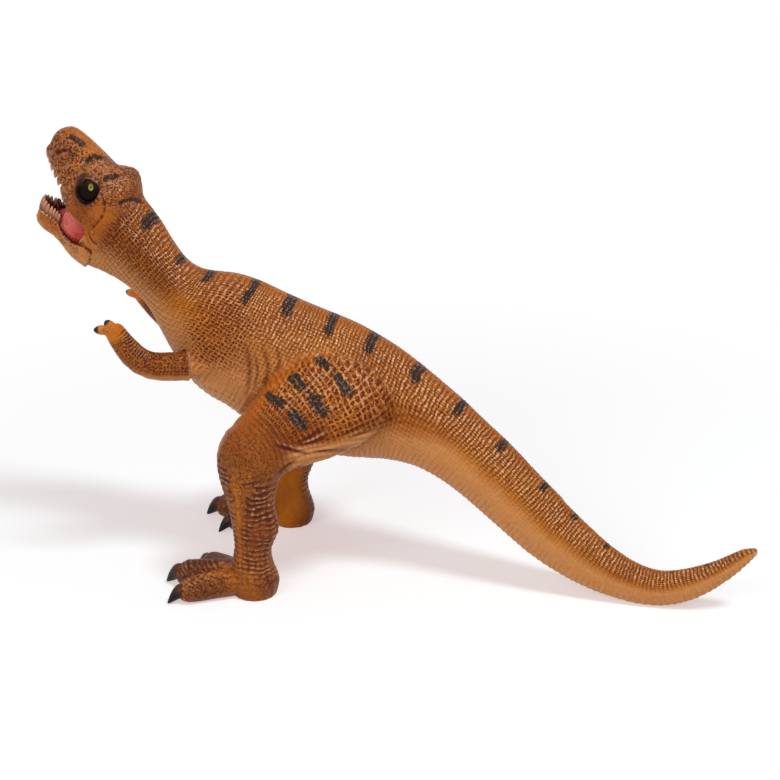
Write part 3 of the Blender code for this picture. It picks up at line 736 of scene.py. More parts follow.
def buildSmallPaint(name):
    # a small painted part: two paints along it, a third in patches and lines
    root, tip, lines, roughness, coat = smallPaints[name]
    made, tree, shader, place = newMaterial(name)
    mottle = useGroup(tree, mottleGroup, Place=place)
    base = blendColour(tree, meshValue(tree, "tipShare"), root, tip)
    base = blendColour(tree, times(tree, mottle["Fine"], smallFinish["patchShare"]), base, lines)
    base = blendColour(tree, meshValue(tree, "linePaint"), base, lines)
    feed(tree, shader.inputs["Base Color"], base)
    rough = blendValue(tree, mottle["Broad"], roughness, roughness + smallFinish["patchRoughness"])
    feed(tree, shader.inputs["Roughness"], rough)
    grain = useGroup(tree, grainGroup, Place=place, Scale=smallFinish["grainScale"])
    addBump(tree, shader, grain["Height"], smallFinish["grainDepth"])
    setPlain(shader, Specular_IOR_Level=smallFinish["specular"], Coat_Weight=coat,
             Coat_Roughness=smallFinish["coatRoughness"])
    return made


skinMaterial = buildSkinMaterial()
toothMaterial, clawMaterial, mouthMaterial, tongueMaterial = (buildSmallPaint(name) for name in smallPaints)
print("materials: skin, teeth, claws and mouth ready")


# the skin of trunk, tail, legs and head is sculpted as one and parted at the castings
skinShape = {
    "voxel": 0.00052,
    "rounds": 220,
    # how firmly a region keeps its shape while its facets are smoothed
    "held": {"shank": 0.80, "crease": 0.90, "foot": 0.93, "head": 0.92, "tailTip": 0.85},
    # mm between the rows of back and thigh, the rings of the shin and the pits of the face
    "rowPitch": 1.85, "thighPitch": 2.15, "ringPitch": 2.45, "pitPitch": 1.15,
    # mm between the fine folds of thigh, throat, chest and tail
    "pleatPitch": 2.4, "stringPitch": 2.5, "chestPitch": 2.6, "tailPitch": 1.9, "palatePitch": 2.1,
    # heights in mm
    "rows": 0.13, "bands": 0.07, "tailRibs": 0.10, "thighRows": 0.20, "rings": 0.34, "ringBands": 0.08,
    "pleats": 0.13, "strings": 0.26, "chestFolds": 0.14, "tailFolds": 0.07, "ridgePoints": 0.32,
    "tailStep": 0.8, "lumps": 0.30, "calf": 0.8, "ankle": 0.2, "heel": 0.3, "farCalf": 0.6,
    "facePits": 0.20, "faceLumps": 0.22, "eyeSocket": 2.6, "palate": 0.22, "castTeeth": 0.45,
}
figureNodes = ("torso", "tail", "left_leg", "right_leg", "head")
skinNames = ("trunk_skin", "tail_skin", "left_leg_skin", "right_leg_skin", "head_skin")

# the middle of the body from the neck seam to the tail tip: x, y, z, half depth, half width
spineLine = [
    (-124.2, 0, 150.6, 20.2, 14.2), (-113.8, 0, 141.6, 15.2, 13.4), (-102.7, 0, 129.9, 13.3, 13.0),
    (-95.4, 0, 121.5, 16.3, 15.4), (-85.3, 0, 114.5, 23.4, 19.2), (-74.6, 0, 106.5, 28.2, 22.1),
    (-61.0, 0, 99.0, 29.4, 23.5), (-46.1, 0, 91.5, 31.0, 24.0), (-30.3, 0, 85.2, 31.2, 23.5),
    (-13.3, 0, 79.8, 28.3, 21.6), (2.5, 0, 75.0, 23.0, 19.0), (16.1, -1.0, 69.0, 19.2, 16.3),
    (29.7, -2.6, 60.3, 17.1, 14.2), (43.9, -5.0, 49.2, 16.5, 13.0), (58.1, -7.4, 36.9, 15.8, 12.0),
    (72.4, -10.0, 25.5, 14.4, 10.8), (87.8, -12.8, 15.9, 12.0, 9.2), (103.0, -15.0, 9.5, 9.3, 7.8),
    (117.9, -16.8, 7.2, 7.9, 6.7), (132.1, -18.0, 11.6, 7.0, 5.9), (144.7, -19.0, 19.5, 5.1, 4.6),
    (153.6, -19.8, 27.0, 3.3, 3.0), (158.5, -20.0, 30.3, 1.3, 1.2),
]
spineCurve = curved(spineLine, 6)
spineSteps = np.concatenate([[0], np.cumsum(np.linalg.norm(np.diff(spineCurve[:, :3], axis=0), axis=1))])

# the head's own frame at the neck seam, in shares of the head's length
neckSeam = np.array([-124.2, 0.0, 150.6])
headForward = np.array([-0.7771, 0.0, 0.6293])
headUp = np.array([0.6293, 0.0, 0.7771])
headLength = 44.0
headHalfWidth = 14.2
shoulderStub = np.array([-92.0, 20.0, 97.0])      # on the +Y side
tailSeam, tailAxis = np.array([2.5, 0.0, 75.0]), np.array([0.9455, 0.0, -0.3256])
# points inside at which the cut ends of the skins are closed, by pair of pieces
cutTips = {(0, 4): (-126.0, 0.0, 149.0), (0, 1): tuple(tailSeam),
           (0, 2): (-26.0, -12.0, 88.0), (0, 3): (-26.0, 12.0, 88.0)}
spareTip = (-26.0, 0.0, 88.0)


def headShares(points):
    offset = (points - neckSeam) / headLength
    return offset @ headForward, offset @ headUp


def headPoint(forward, upward, across=0.0):
    return neckSeam + (headForward * forward + headUp * upward) * headLength + np.array([0.0, across, 0.0])


def spinePlace(points):
    # distance along the body, angle from the ridge of the back and mean radius there
    centres = spineCurve[:, :3]
    tangents = np.gradient(centres, axis=0)
    tangents /= np.linalg.norm(tangents, axis=1)[:, None]
    along, angle, radius = (np.zeros(len(points)) for _ in range(3))
    for first in range(0, len(points), 20000):
        part = points[first:first + 20000]
        nearest = ((part[:, None, :] - centres[None]) ** 2).sum(2).argmin(1)
        ahead = np.einsum("ij,ij->i", part - centres[nearest], tangents[nearest])
        start = np.clip(np.where(ahead >= 0, nearest, nearest - 1), 0, len(centres) - 2)
        a = np.einsum("ij,ij->i", part - centres[start], tangents[start])
        b = np.einsum("ij,ij->i", centres[start + 1] - part, tangents[start + 1])
        share = limited(a / np.where(np.abs(a + b) < 1e-6, 1e-6, a + b))
        row = spineCurve[start] * (1 - share[:, None]) + spineCurve[start + 1] * share[:, None]
        heading = tangents[start] * (1 - share[:, None]) + tangents[start + 1] * share[:, None]
        across = np.cross(np.array([0, 0, 1.0]), heading)
        across /= np.linalg.norm(across, axis=1)[:, None]
        up = np.cross(heading, across)
        offset = part - row[:, :3]
        rise = np.einsum("ij,ij->i", offset, up) / row[:, 3]
        reach = np.einsum("ij,ij->i", offset, across) / row[:, 4]
        along[first:first + 20000] = spineSteps[start] * (1 - share) + spineSteps[start + 1] * share
        angle[first:first + 20000] = np.arctan2(np.abs(reach), rise)
        radius[first:first + 20000] = (row[:, 3] + row[:, 4]) / 2
    return along, angle, radius


def alongAt(x, z):
    return float(spinePlace(np.array([[x, 0.0, z]]))[0][0])


legOutline = [
    (-20, 110), (-39.5, 105), (-52.7, 96), (-60.5, 85.5), (-69.8, 73), (-72.5, 64.3), (-71.3, 55), (-68, 44),
    (-66, 32), (-65.3, 22), (-67, 12), (-99, 14), (-99, -3), (-40, -3), (-43, 10), (-47.5, 22), (-45, 31),
    (-46, 42), (-45, 50), (-42, 56), (-33.5, 60), (-12.5, 66), (4, 80), (0, 95), (-8, 106),
]
footAxis = (-60.0, 37.2)      # x and distance from the middle of the ankle's axis
thighPivot = (-62.0, 62.0)

# dark bars on the ridge of the back: x and z of the middle, half length along, reach down in mm
stripeBars = [
    (-109.5, 154.0, 2.3, 14), (-96.5, 138.5, 1.6, 9), (-85.0, 130.0, 2.3, 11),
    (-66.5, 125.0, 2.5, 17), (-49.0, 120.0, 2.3, 13), (-30.0, 112.5, 2.3, 13), (-11.5, 105.5, 2.2, 13),
    (8.5, 91.5, 2.0, 13), (27.0, 77.0, 1.8, 12), (47.5, 63.5, 1.6, 10), (66.5, 46.5, 1.6, 8),
    (82.0, 36.0, 1.4, 6), (95.5, 21.5, 1.2, 5), (125.0, 14.7, 0.9, 4), (139.4, 20.3, 0.8, 3),
]
# dark marks on the outside of the thigh, from and to in side view, with their half width
thighMarks = [
    ((-39.6, 102.2), (-33.0, 96.3), 3.1), ((-28.3, 112.0), (-22.0, 106.0), 2.5),
    ((-20.0, 104.0), (-14.2, 96.0), 2.2), ((-30.2, 94.6), (-25.2, 86.2), 3.1),
    ((-50.2, 93.4), (-42.2, 88.8), 2.4), ((-39.2, 86.4), (-34.2, 79.4), 3.0),
]
# the raised line between the marks of the thigh
thighRidge = [(-44.7, 82.8), (-40.0, 90.4), (-24.0, 105.0), (-16.6, 112.8)]
# the crease in front of the thigh and the thigh's bare front edge, in side view
thighCrease = [(-73, 66), (-69, 74), (-60, 85.5), (-52, 96.5), (-40, 104)]
thighFront = [(-22.2, 118.6), (-36.4, 111.7), (-45.9, 102.1), (-57, 86.9), (-63.5, 76)]
# distance from the middle at which folds were measured, by how far out they start
foldPlane = {18: 36, 12: 22}
# side-view folds with their width, their depth (raised above 0) and how far out they start
bodyFolds = [
    ([(-66, 76), (-60, 85), (-52, 96), (-41, 105)], 1.4, -0.9, 14),
    ([(-62, 110), (-60.5, 98), (-62.5, 85)], 1.2, -0.50, 12),
    ([(-55, 110), (-52.5, 100), (-55, 91)], 1.1, -0.42, 12),
    ([(-58.5, 106), (-57, 98), (-59, 89)], 0.7, -0.30, 12),
    ([(-49, 111), (-47.5, 104), (-48.5, 98)], 0.9, -0.32, 12),
    (thighRidge, 0.7, 0.55, 18),
    ([(-46.0, 70.5), (-38.2, 68.6), (-31.7, 67.6)], 0.9, -0.80, 18),
    ([(-46.0, 72.3), (-38.2, 70.4), (-31.7, 69.4)], 0.9, 0.50, 18),
    ([(-30.4, 68.6), (-20.9, 69.7), (-12.3, 71.5), (-9.2, 71.0)], 0.9, -0.70, 18),
    ([(-36.9, 72.1), (-30.9, 75.9), (-24.8, 80.6)], 0.8, -0.70, 18),
    ([(-36.1, 71.2), (-29.1, 73.4), (-23.9, 76.2)], 0.7, -0.60, 18),
    ([(-33.5, 73.0), (-29.5, 75.0), (-24.0, 78.6)], 0.7, 0.45, 18),
    ([(-18.8, 76.2), (-13.6, 79.4), (-7.5, 83.2)], 0.8, -0.55, 18),
    ([(-16.0, 75.2), (-9.0, 78.6), (-1.5, 82.0)], 0.6, -0.35, 18),
    ([(-45.6, 57.4), (-40.4, 62.1), (-36.9, 64.8)], 0.8, -0.55, 18),
    ([(-43.5, 55.6), (-38.0, 60.0), (-33.0, 63.5)], 0.7, -0.40, 18),
    ([(-8, 80.5), (4, 84), (18, 79)], 1.1, -0.60, 10),
    ([(-4, 77.5), (8, 80), (24, 72)], 0.8, -0.35, 8),
    ([(-6, 74), (6, 77), (22, 70)], 1.0, -0.38, 8),
    ([(-87, 88), (-78.5, 79.5), (-70, 76), (-61, 79)], 1.2, -0.65, 6),
    ([(-86.5, 87.6), (-76.2, 85.3), (-67.4, 82), (-62.2, 80.8)], 0.8, -0.45, 6),
    ([(-82, 82), (-74, 74.5), (-66, 72)], 1.1, -0.45, 4),
]

# marks of the face in side view, in mm
face = {
    "nostril": [(-146.1, 186.2), (-144.8, 187.5), (-143.6, 188.0), (-141.6, 188.2), (-140.1, 187.3),
                (-139.0, 185.8)],
    "nostrilMound": (-143.2, 184.9),
    # over the nostril, along the brow and round the crest: line, width and height
    "ridges": [([(-147.0, 187.6), (-144.6, 189.6), (-141.6, 190.0), (-138.6, 188.6)], 0.8, 0.45),
               ([(-141.0, 192.8), (-135.5, 188.8), (-130.0, 182.6), (-125.0, 178.2)], 1.7, 0.45),
               ([(-124.0, 178.6), (-119.5, 177.6), (-115.0, 175.6), (-112.8, 171.0)], 2.0, 0.45)],
    # swellings before and behind the crease: middle, width and height
    "cheeks": [((-131.2, 160.0), 4.6, 0.55), ((-121.0, 158.5), 5.5, 0.50)],
    "crease": [(-125.4, 170.0), (-124.6, 166.9), (-124.5, 163.3), (-126.3, 159.6), (-128.9, 156.7), (-131.0, 154.6),
               (-131.8, 153.0), (-130.8, 150.2), (-128.9, 148.3)],
    "creaseBranch": [(-131.0, 154.6), (-129.4, 154.5), (-129.9, 151.9), (-129.2, 150.3)],
    "cheekRim": [(-142.3, 168.9), (-144.5, 165.2), (-146.3, 162.3), (-144.0, 160.7), (-139.7, 158.7),
                 (-136.7, 155.3), (-134.5, 151.4), (-133.2, 147.4)],
    "lip": [(-149.6, 184.0), (-148.6, 180.4), (-146.9, 176.4), (-145.2, 172.6), (-143.2, 168.9)],
    "eye": [(-137.9, 171.7), (-136.1, 175.0), (-133.7, 176.7), (-131.3, 176.6), (-128.6, 175.3), (-126.8, 173.1),
            (-127.4, 169.9), (-129.5, 167.0), (-133.1, 165.2), (-136.6, 166.6), (-138.0, 169.3)],
    # dark marks of the head: line, width and strength
    "marks": [
        ([(-139.2, 194.6), (-137.0, 193.6), (-135.2, 191.4)], 2.1, 0.82),
        ([(-132.4, 183.8), (-130.2, 186.0), (-127.0, 186.0)], 1.6, 0.95),
        ([(-124.8, 176.0), (-122.4, 177.0), (-120.0, 177.6)], 1.7, 0.85),
        ([(-118.5, 165.8), (-115.7, 167.5), (-113.3, 168.2), (-110.6, 167.4)], 1.3, 0.80),
    ],
    "eyeMiddle": (-132.2, 171.3), "eyeBeads": 17,
    # round patches of paint: middle and radius
    "cheek": ((-133.0, 160.0), 7.5), "jowl": ((-120.0, 158.0), 6.5), "nape": ((-116.0, 152.0), 7.0),
    "smoky": ((-135.6, 177.2), 2.6),
    "lipDots": [(-148.7, 189.5), (-146.3, 189.6), (-149.2, 187.1), (-146.9, 186.5), (-148.6, 184.0)],
    "crestDots": [(-114.0, 178.9), (-112.1, 176.2), (-112.9, 177.4)],
    "speckled": [((-127.0, 179.4), 3.6), ((-120.6, 172.2), 4.6), ((-116.0, 165.0), 3.0)],
}


def sideShare(points, low, high):
    return smoothStep(np.abs(points[:, 1]), low, high)


def asSeen(points, depth):
    # side-view place at which a point shows in the photograph,
    # for marks that were measured at this distance from the middle
    step = depth - np.abs(points[:, 1])
    return np.stack([points[:, 0] + 0.176 * step, points[:, 2] + 0.410 * step], axis=1)


def shoulderPlace(joint):
    # middle of the shoulder's seam, and the way the arm points
    axis = np.array(joint["axis"], float)
    return np.array(joint["pos_m"]) / mm, unit(axis if axis[0] < 0 else -axis)


teethShape = {
    "upper": {
        # forward, upward and half width of the tooth line, in shares of the head
        "line": [(0.975, 0.252, 0.100), (0.925, 0.240, 0.260), (0.860, 0.198, 0.340), (0.790, 0.160, 0.385),
                 (0.720, 0.122, 0.420), (0.640, 0.070, 0.460), (0.590, 0.030, 0.520)],
        "count": 7, "height": 4.0, "radius": 1.4, "lean": -0.18, "sense": -1.0, "bend": -0.35,
        "taper": 0.3,                    # how much smaller the rearmost tooth is
        "long": 1.08, "wide": 1.35,      # shares of height and radius
        # along the tooth and its thickness there
        "profile": [(-0.45, 0.80), (-0.20, 0.96), (0.05, 1.04), (0.30, 0.94), (0.52, 0.76), (0.72, 0.55),
                    (0.88, 0.35), (0.98, 0.20), (1.04, 0.07)],
    },
    "lower": {
        "line": [(0.700, -0.306, 0.060), (0.676, -0.300, 0.210), (0.625, -0.290, 0.330), (0.570, -0.270, 0.400),
                 (0.525, -0.258, 0.430), (0.482, -0.254, 0.455)],
        "count": 8, "height": 4.2, "radius": 1.1, "lean": 0.45, "sense": 1.0, "bend": -0.20,
        "taper": 0.3, "long": 1.32, "wide": 1.10,
        "profile": [(-0.45, 0.80), (-0.20, 0.92), (0.05, 1.02), (0.30, 1.00), (0.55, 0.90), (0.75, 0.74),
                    (0.90, 0.52), (1.00, 0.30), (1.05, 0.10)],
    },
}


def toothPlaces(look):
    # root, direction and size of each tooth, down both sides of a jaw
    rows = np.array(look["line"])
    direction = unit(headForward * look["lean"] + headUp * look["sense"])
    places = []
    for tooth in range(look["count"]):
        back = tooth / (look["count"] - 1)
        place = back * (len(rows) - 1)
        index = min(int(place), len(rows) - 2)
        forward, upward, half = rows[index] + (rows[index + 1] - rows[index]) * (place - index)
        for side in (leftSide, rightSide):
            root = headPoint(forward, upward, side * half * headHalfWidth)
            places.append((root, direction, 1 - look["taper"] * back))
    return places


def castTeeth(points, look):
    # 1 on the blunt teeth of the casting, which the tooth pieces cover
    share = np.zeros(len(points))
    for root, direction, size in toothPlaces(look):
        ahead = (points - root) @ direction
        beside = np.linalg.norm(points - root - ahead[:, None] * direction, axis=1)
        beside = smoothStep(beside / (look["radius"] * size), 0.9, 1.25)
        share = np.maximum(share, smoothStep(ahead, 0.2, 0.8) * (1 - beside))
    return share


def buildSkin():
    plugs = []
    for joint in frame["record"]["behaviour"]["joints"]:
        if "shoulder" in joint["name"]:
            seam, outward = shoulderPlace(joint)
            ends = (seam - outward * 11.4, seam - outward * 0.8)
            plugs.append(formsMesh("plug", [sweptForm(ends, [(4.6, 4.6)] * 2, (0, 0, 1), 24)])[0])
    parts = [frame["nodes"][name].data for name in figureNodes + ("left_eye", "right_eye")]
    mesh = fusedMesh("skin", parts + plugs, skinShape["voxel"])
    keepLargestShell(mesh)
    print("skin: fused,", len(mesh.vertices), "points")
    points = readPoints(mesh)
    side = points[:, [0, 2]]
    legDepth = insideDistance(side, legOutline)
    headZone = smoothStep(headShares(points)[0] * headLength, -5, 5)
    low = 1 - smoothStep(points[:, 2], 14, 24)
    shank = (1 - smoothStep(points[:, 2], 44, 64)) * smoothStep(legDepth, -4, 1)
    frontCrease, _ = lineDistance(side, curved(thighCrease))
    nearCrease = (1 - smoothStep(frontCrease, 2.5, 7)) * sideShare(points, 12, 18)
    mirrored = np.stack([points[:, 0], np.abs(points[:, 1]), points[:, 2]], axis=1)
    shoulder = np.linalg.norm(mirrored - shoulderStub, axis=1)
    held = skinShape["held"]
    weights = np.minimum.reduce([
        1 - held["shank"] * shank,
        1 - held["crease"] * nearCrease,
        1 - held["foot"] * low * smoothStep(-points[:, 0], -20, 10),
        1 - held["head"] * headZone,
        0.10 + 0.90 * smoothStep(shoulder, 8, 13),
        1 - held["tailTip"] * smoothStep(points[:, 0], 140, 152),
    ])
    relaxFacets(mesh, weights, skinShape["rounds"])
    forward = headShares(readPoints(mesh))[0]
    refineFaces(mesh, forward[faceCorners(mesh)[0][:, 0]] > 0.10)
    print("skin: facets relaxed,", len(mesh.vertices), "points")
    return mesh


def darkMarks(points, along, around, rough, trunk, leg):
    # the bars across the back and the marks on the thighs
    marks = np.zeros(len(points))
    for x, z, half, drop in stripeBars:
        lean = alongAt(x, z) + (0.14 * bell(along - 75, 40) - 0.04) * around
        length = 1 - smoothStep(around + 2.0 * rough, drop * 0.75, drop * 1.35)
        edge = np.abs(along - lean + 0.8 * rough)
        marks = np.maximum(marks, (1 - smoothStep(edge, half * 0.45, half * 1.75)) * length)
    marks *= trunk
    seen = asSeen(points, foldPlane[18])
    for start, end, half in thighMarks:
        start, end = np.array(start), np.array(end)
        inset = unit(end - start) * half * 0.5
        distance, _ = lineDistance(seen, [start + inset, end - inset])
        mark = (1 - smoothStep(distance + 0.6 * rough, half * 0.4, half * 1.55)) * sideShare(points, 16, 20)
        marks = np.maximum(marks, 0.95 * mark * smoothStep(leg, 0.3, 0.9))
    return marks * (1 - 0.85 * stroke(seen, thighRidge, 0.9) * leg)


def sculptBody(points, paint):
    # the cross-hatched back, the flank and belly, the thigh, the shin and the feet
    side = points[:, [0, 2]]
    along, angle, radius = spinePlace(points)
    degrees = np.degrees(angle)
    around = angle * np.sqrt(radius * 27)
    legDepth = insideDistance(side, legOutline)
    foot = 1 - smoothStep(points[:, 2], 52, 60)
    leg = np.maximum(smoothStep(legDepth, -2.0, 2.5) * sideShare(points, 13, 19),
                     foot * smoothStep(-points[:, 0], -20, 36) * (points[:, 0] < 0))
    shin = leg * (1 - smoothStep(points[:, 2] + 0.25 * (points[:, 0] + 58), 54, 68))
    head = smoothStep(headShares(points)[0] * headLength, -2, 7)
    trunk = (1 - leg) * (1 - head)
    height = np.zeros(len(points))

    # rows across the back and bands along it, a little uneven
    rough = layeredNoise(points, 5, 15, 2)
    bodyRow = along / skinShape["rowPitch"] + 0.65 * layeredNoise(points, 16, 11) + 0.34 * rough
    pitch = np.interp(along, [0, 22, 45, 120, 150, 220], [1.7, 1.7, 1.55, 1.6, 1.9, 1.7])
    bodyBand = around / pitch + 0.45 * layeredNoise(points, 12, 21) - 0.30 * rough
    flankShare = smoothStep(degrees, 52, 78)
    onNeck = 1 - smoothStep(along, 26, 44)
    hatch = trunk * (1 - 0.25 * flankShare * (1 - onNeck)) * (1 - 0.6 * smoothStep(degrees, 92, 122))
    tailLow = smoothStep(along, 140, 175) * smoothStep(degrees, 60, 92)
    hatch *= 1 - 0.80 * tailLow
    atShoulder = roundSpot(side, (-79, 106), 11) * trunk
    shoulderRows = roundSpot(asSeen(points, 20), (-73, 118), 13) * trunk
    hatch = np.maximum(hatch, np.maximum(0.95 * atShoulder, shoulderRows))
    # the rows stand up as ribs towards the tail
    rowHeight = skinShape["rows"] + skinShape["tailRibs"] * smoothStep(along, 125, 150)
    height += rowHeight * hatch * (grooves(bodyRow, 0.45) - 0.6)
    height += skinShape["bands"] * hatch * (grooves(bodyBand, 0.40) - 0.6)

    pivot = side - np.array(thighPivot)
    reach = np.linalg.norm(pivot, axis=1)
    swing = np.arctan2(pivot[:, 0], pivot[:, 1])
    thighRow = reach / skinShape["thighPitch"] + 0.45 * layeredNoise(points, 11, 31) + 0.25 * rough
    thighBand = swing * 42 / 1.9 + 0.4 * layeredNoise(points, 9, 41) - 0.25 * rough
    upper = limited(leg - shin)
    thighSeen = asSeen(points, 36)
    front = bell(lineDistance(asSeen(points, 32), curved(thighFront))[0], 4.6) * leg
    nearKnee = 1 - smoothStep(reach, 13, 26)
    rearLine = np.interp(thighSeen[:, 0], [-46, -36, -22, -10, 7], [66, 71, 74, 79, 86])
    paleThigh = smoothStep(rearLine - thighSeen[:, 1], -2.0, 2.5) * upper
    paleThigh *= smoothStep(thighSeen[:, 0], -46, -36)
    thighHatch = upper * (1 - 0.65 * front) * (1 - 0.7 * nearKnee) * (1 - 0.85 * paleThigh)
    height += skinShape["thighRows"] * thighHatch * (grooves(thighRow, 0.42) - 0.6)
    flat = np.stack([points[:, 0] - footAxis[0], np.abs(points[:, 1]) - footAxis[1]], axis=1)
    footReach = np.linalg.norm(flat, axis=1)
    turned = np.arctan2(flat[:, 1], flat[:, 0])
    ringPlace = points[:, 2] - 0.8 * np.maximum(footReach - 13, 0)
    shinRow = (ringPlace + 2.2 * layeredNoise(points, 10, 51) + 0.7 * rough) / skinShape["ringPitch"]
    shinBand = turned * 13 / 3.4 + 0.6 * layeredNoise(points, 6, 61)
    outerShare = smoothStep(np.abs(points[:, 1]) - footAxis[1], -6.5, -2.5)
    plain = bell(np.degrees(turned) - 100, 11) * smoothStep(points[:, 2], 14, 20) * shin
    broken = smoothStep(layeredNoise(points, 4.0, 121, 2), -0.45, 0.20)
    ringDepth = shin * outerShare * (1 - 0.7 * plain) * (0.45 + 0.55 * broken)
    ringDepth *= smoothStep(points[:, 2], 1, 17)
    height += skinShape["rings"] * ringDepth * (grooves(shinRow, 0.44) - 0.6)
    height += skinShape["ringBands"] * ringDepth * (grooves(shinBand, 0.35) - 0.6)
    # the calf swells, the ankle draws in behind and the heel stands out below it
    rearward = smoothStep(np.cos(turned), 0.1, 0.8) * shin * (1 - smoothStep(footReach, 16, 20))
    height += rearward * (skinShape["calf"] * bell(points[:, 2] - 34, 6)
                          - skinShape["ankle"] * bell(points[:, 2] - 21, 5.5)
                          + skinShape["heel"] * bell(points[:, 2] - 7, 5))

    foldLines = np.zeros(len(points))
    for line, width, depth, out in bodyFolds:
        seen = asSeen(points, foldPlane[out]) if out in foldPlane else side
        reach = sideShare(points, out - 3, out + 2)
        height += depth * stroke(seen, line, width) * reach
        if depth < 0 and out in foldPlane:
            foldLines = np.maximum(foldLines, stroke(seen, line, width * 0.9) * reach)
    leaning = thighSeen[:, 1] - 0.28 * thighSeen[:, 0]
    pleats = wave(leaning + 1.2 * layeredNoise(points, 9, 127), skinShape["pleatPitch"])
    height += skinShape["pleats"] * paleThigh * pleats
    farCalf = stroke(side, [(-53, 50), (-52, 40), (-50.5, 33)], 1.0)
    height -= skinShape["farCalf"] * farCalf * (points[:, 1] < 37) * sideShare(points, 22, 25)

    # long strings under the neck and chest, fine lengthwise creases under the tail
    under = smoothStep(degrees, 92, 125) * trunk
    neckLength = 1 - smoothStep(along, 34, 66)
    strings = wave(angle * radius + 1.3 * softNoise(points, 14, 71), skinShape["stringPitch"])
    height += skinShape["strings"] * under * neckLength * strings
    folded = wave(along + 2.0 * layeredNoise(points, 10, 75), skinShape["chestPitch"])
    height += skinShape["chestFolds"] * under * smoothStep(along, 40, 66) * folded
    creased = wave(around + softNoise(points, 20, 81), skinShape["tailPitch"])
    height += skinShape["tailFolds"] * tailLow * trunk * creased

    # the ridge of the back stands in small points, and drops in a step on the tail
    height += skinShape["ridgePoints"] * bell(around, 1.5) * trunk * (0.4 + 0.6 * np.cos(2 * pi * bodyRow))
    step = alongAt(75.5, 43.0)
    raised = smoothStep(along, step - 14, step - 2) * (1 - smoothStep(along, step, step + 2.6))
    height += skinShape["tailStep"] * bell(around, 7.0) * trunk * raised
    height += skinShape["lumps"] * layeredNoise(points, 20, 91) * trunk

    belly = smoothStep(degrees + 7 * layeredNoise(points, 18, 111), 78, 108) * trunk
    neckSide = bell(along - 12, 20) * bell(degrees - 78, 26)
    flank = bell(degrees - 78, 26) * trunk * smoothStep(along, 58, 76) * (1 - smoothStep(along, 112, 135))
    ridgeRows = smoothStep(degrees, 6, 16) * (1 - smoothStep(degrees, 50, 72))
    ridgeRows *= trunk * (1 - 0.6 * shoulderRows)
    toes = shin * (1 - smoothStep(points[:, 2], 12, 20)) * smoothStep(footReach, 10, 16)
    flatSide = np.stack([points[:, 0], np.abs(points[:, 1])], axis=1)
    outerToe = bell(lineDistance(flatSide, [(-66, 41), (-90, 54)])[0], 5.5)
    heel = roundSpot(side, (-50, 9), 5.5) * sideShare(points, 40, 44)
    knee = roundSpot(side, (-57, 63), 9) * leg
    between = 1 - grooves(shinRow, 0.62)
    offFront = np.abs(np.degrees(turned) - 98)
    columns = outerShare * (1 - plain) * (0.35 + 0.65 * smoothStep(offFront, 14, 24))
    columns *= 1 - smoothStep(offFront, 62, 84)
    paint["bodyRow"], paint["bodyBand"] = bodyRow, bodyBand
    paint["thighRow"], paint["thighBand"] = thighRow, thighBand
    paint["shinRow"], paint["shinBand"] = shinRow, shinBand
    paint["legMask"], paint["shinMask"] = leg, shin
    paint["stripeMask"] = darkMarks(points, along, around, rough, trunk, leg)
    tailBelly = smoothStep(along, 150, 180) * smoothStep(degrees + 5 * rough, 62, 88) * trunk
    tailUpper = smoothStep(along, 120, 160) * (1 - smoothStep(degrees, 78, 100))
    onNeckSide = onNeck * bell(degrees - 72, 34) * trunk
    lowThigh = upper * smoothStep(-points[:, 2], -92, -68)
    patches = smoothStep(layeredNoise(points, 9, 125, 2), -0.6, 0.5)
    outerShin = shin * outerShare
    paint["bellyMask"] = limited(belly * (1 - 0.5 * neckSide) * (1 - 0.7 * atShoulder) + 0.50 * flank
                                 + 0.8 * tailBelly + 0.22 * ridgeRows + 0.9 * paleThigh)
    paint["orangeMask"] = limited(front * smoothStep(points[:, 2], 66, 76) + 0.6 * bell(degrees, 14) * trunk
                                  + 0.5 * plain)
    paint["hatchMask"] = limited(hatch + thighHatch + 0.9 * ringDepth)
    paint["washMask"] = np.clip(0.85 + 1.1 * shoulderRows + 0.7 * atShoulder + 0.35 * onNeck + 0.30 * leg
                                + 0.15 * ridgeRows + 0.15 * tailUpper - 0.30 * belly, 0, 1.9)
    # drybrushed paint on the crests, with a painted highlight on the back's rows and the top of the thigh
    paint["dryBrushAndHighlight"] = limited(0.75 * ridgeRows + 0.70 * thighHatch * smoothStep(points[:, 2], 76, 100)
                                + 0.35 * ringDepth)
    paint["netMask"] = limited(1.1 * shoulderRows + atShoulder + onNeckSide + 0.95 * thighHatch
                               + 0.4 * trunk * smoothStep(degrees, 60, 85) + 0.15)
    paint["pitMask"] = limited(0.40 * toes + 0.42 * nearKnee * leg * outerShare * (1 - 0.5 * shin)
                               + 0.40 * onNeckSide + 0.25 * heel + 0.25 * outerShin)
    redShin = (0.30 + 0.25 * patches) * outerShin * (1 - 0.6 * plain) * (1 - 0.7 * outerToe * toes)
    # red-brown paint, with painted shade on the neck side, in the fold lines and between the pleats
    paint["redPaintAndShade"] = limited(0.34 * lowThigh * (1 - paleThigh) + redShin + 0.30 * onNeckSide
                                + 0.12 * shoulderRows + 0.25 * upper * front + 0.65 * foldLines
                                + 0.30 * paleThigh * smoothStep(-pleats, 0.5, 0.95))
    darkRings = between * broken * columns * shin * smoothStep(points[:, 2], 14, 20)
    paint["darkPaintAndShade"] = limited(toes * (0.72 - 0.70 * outerToe) + 0.30 * heel * broken
                                 + 0.15 * knee * broken + 0.90 * darkRings)
    return height, head


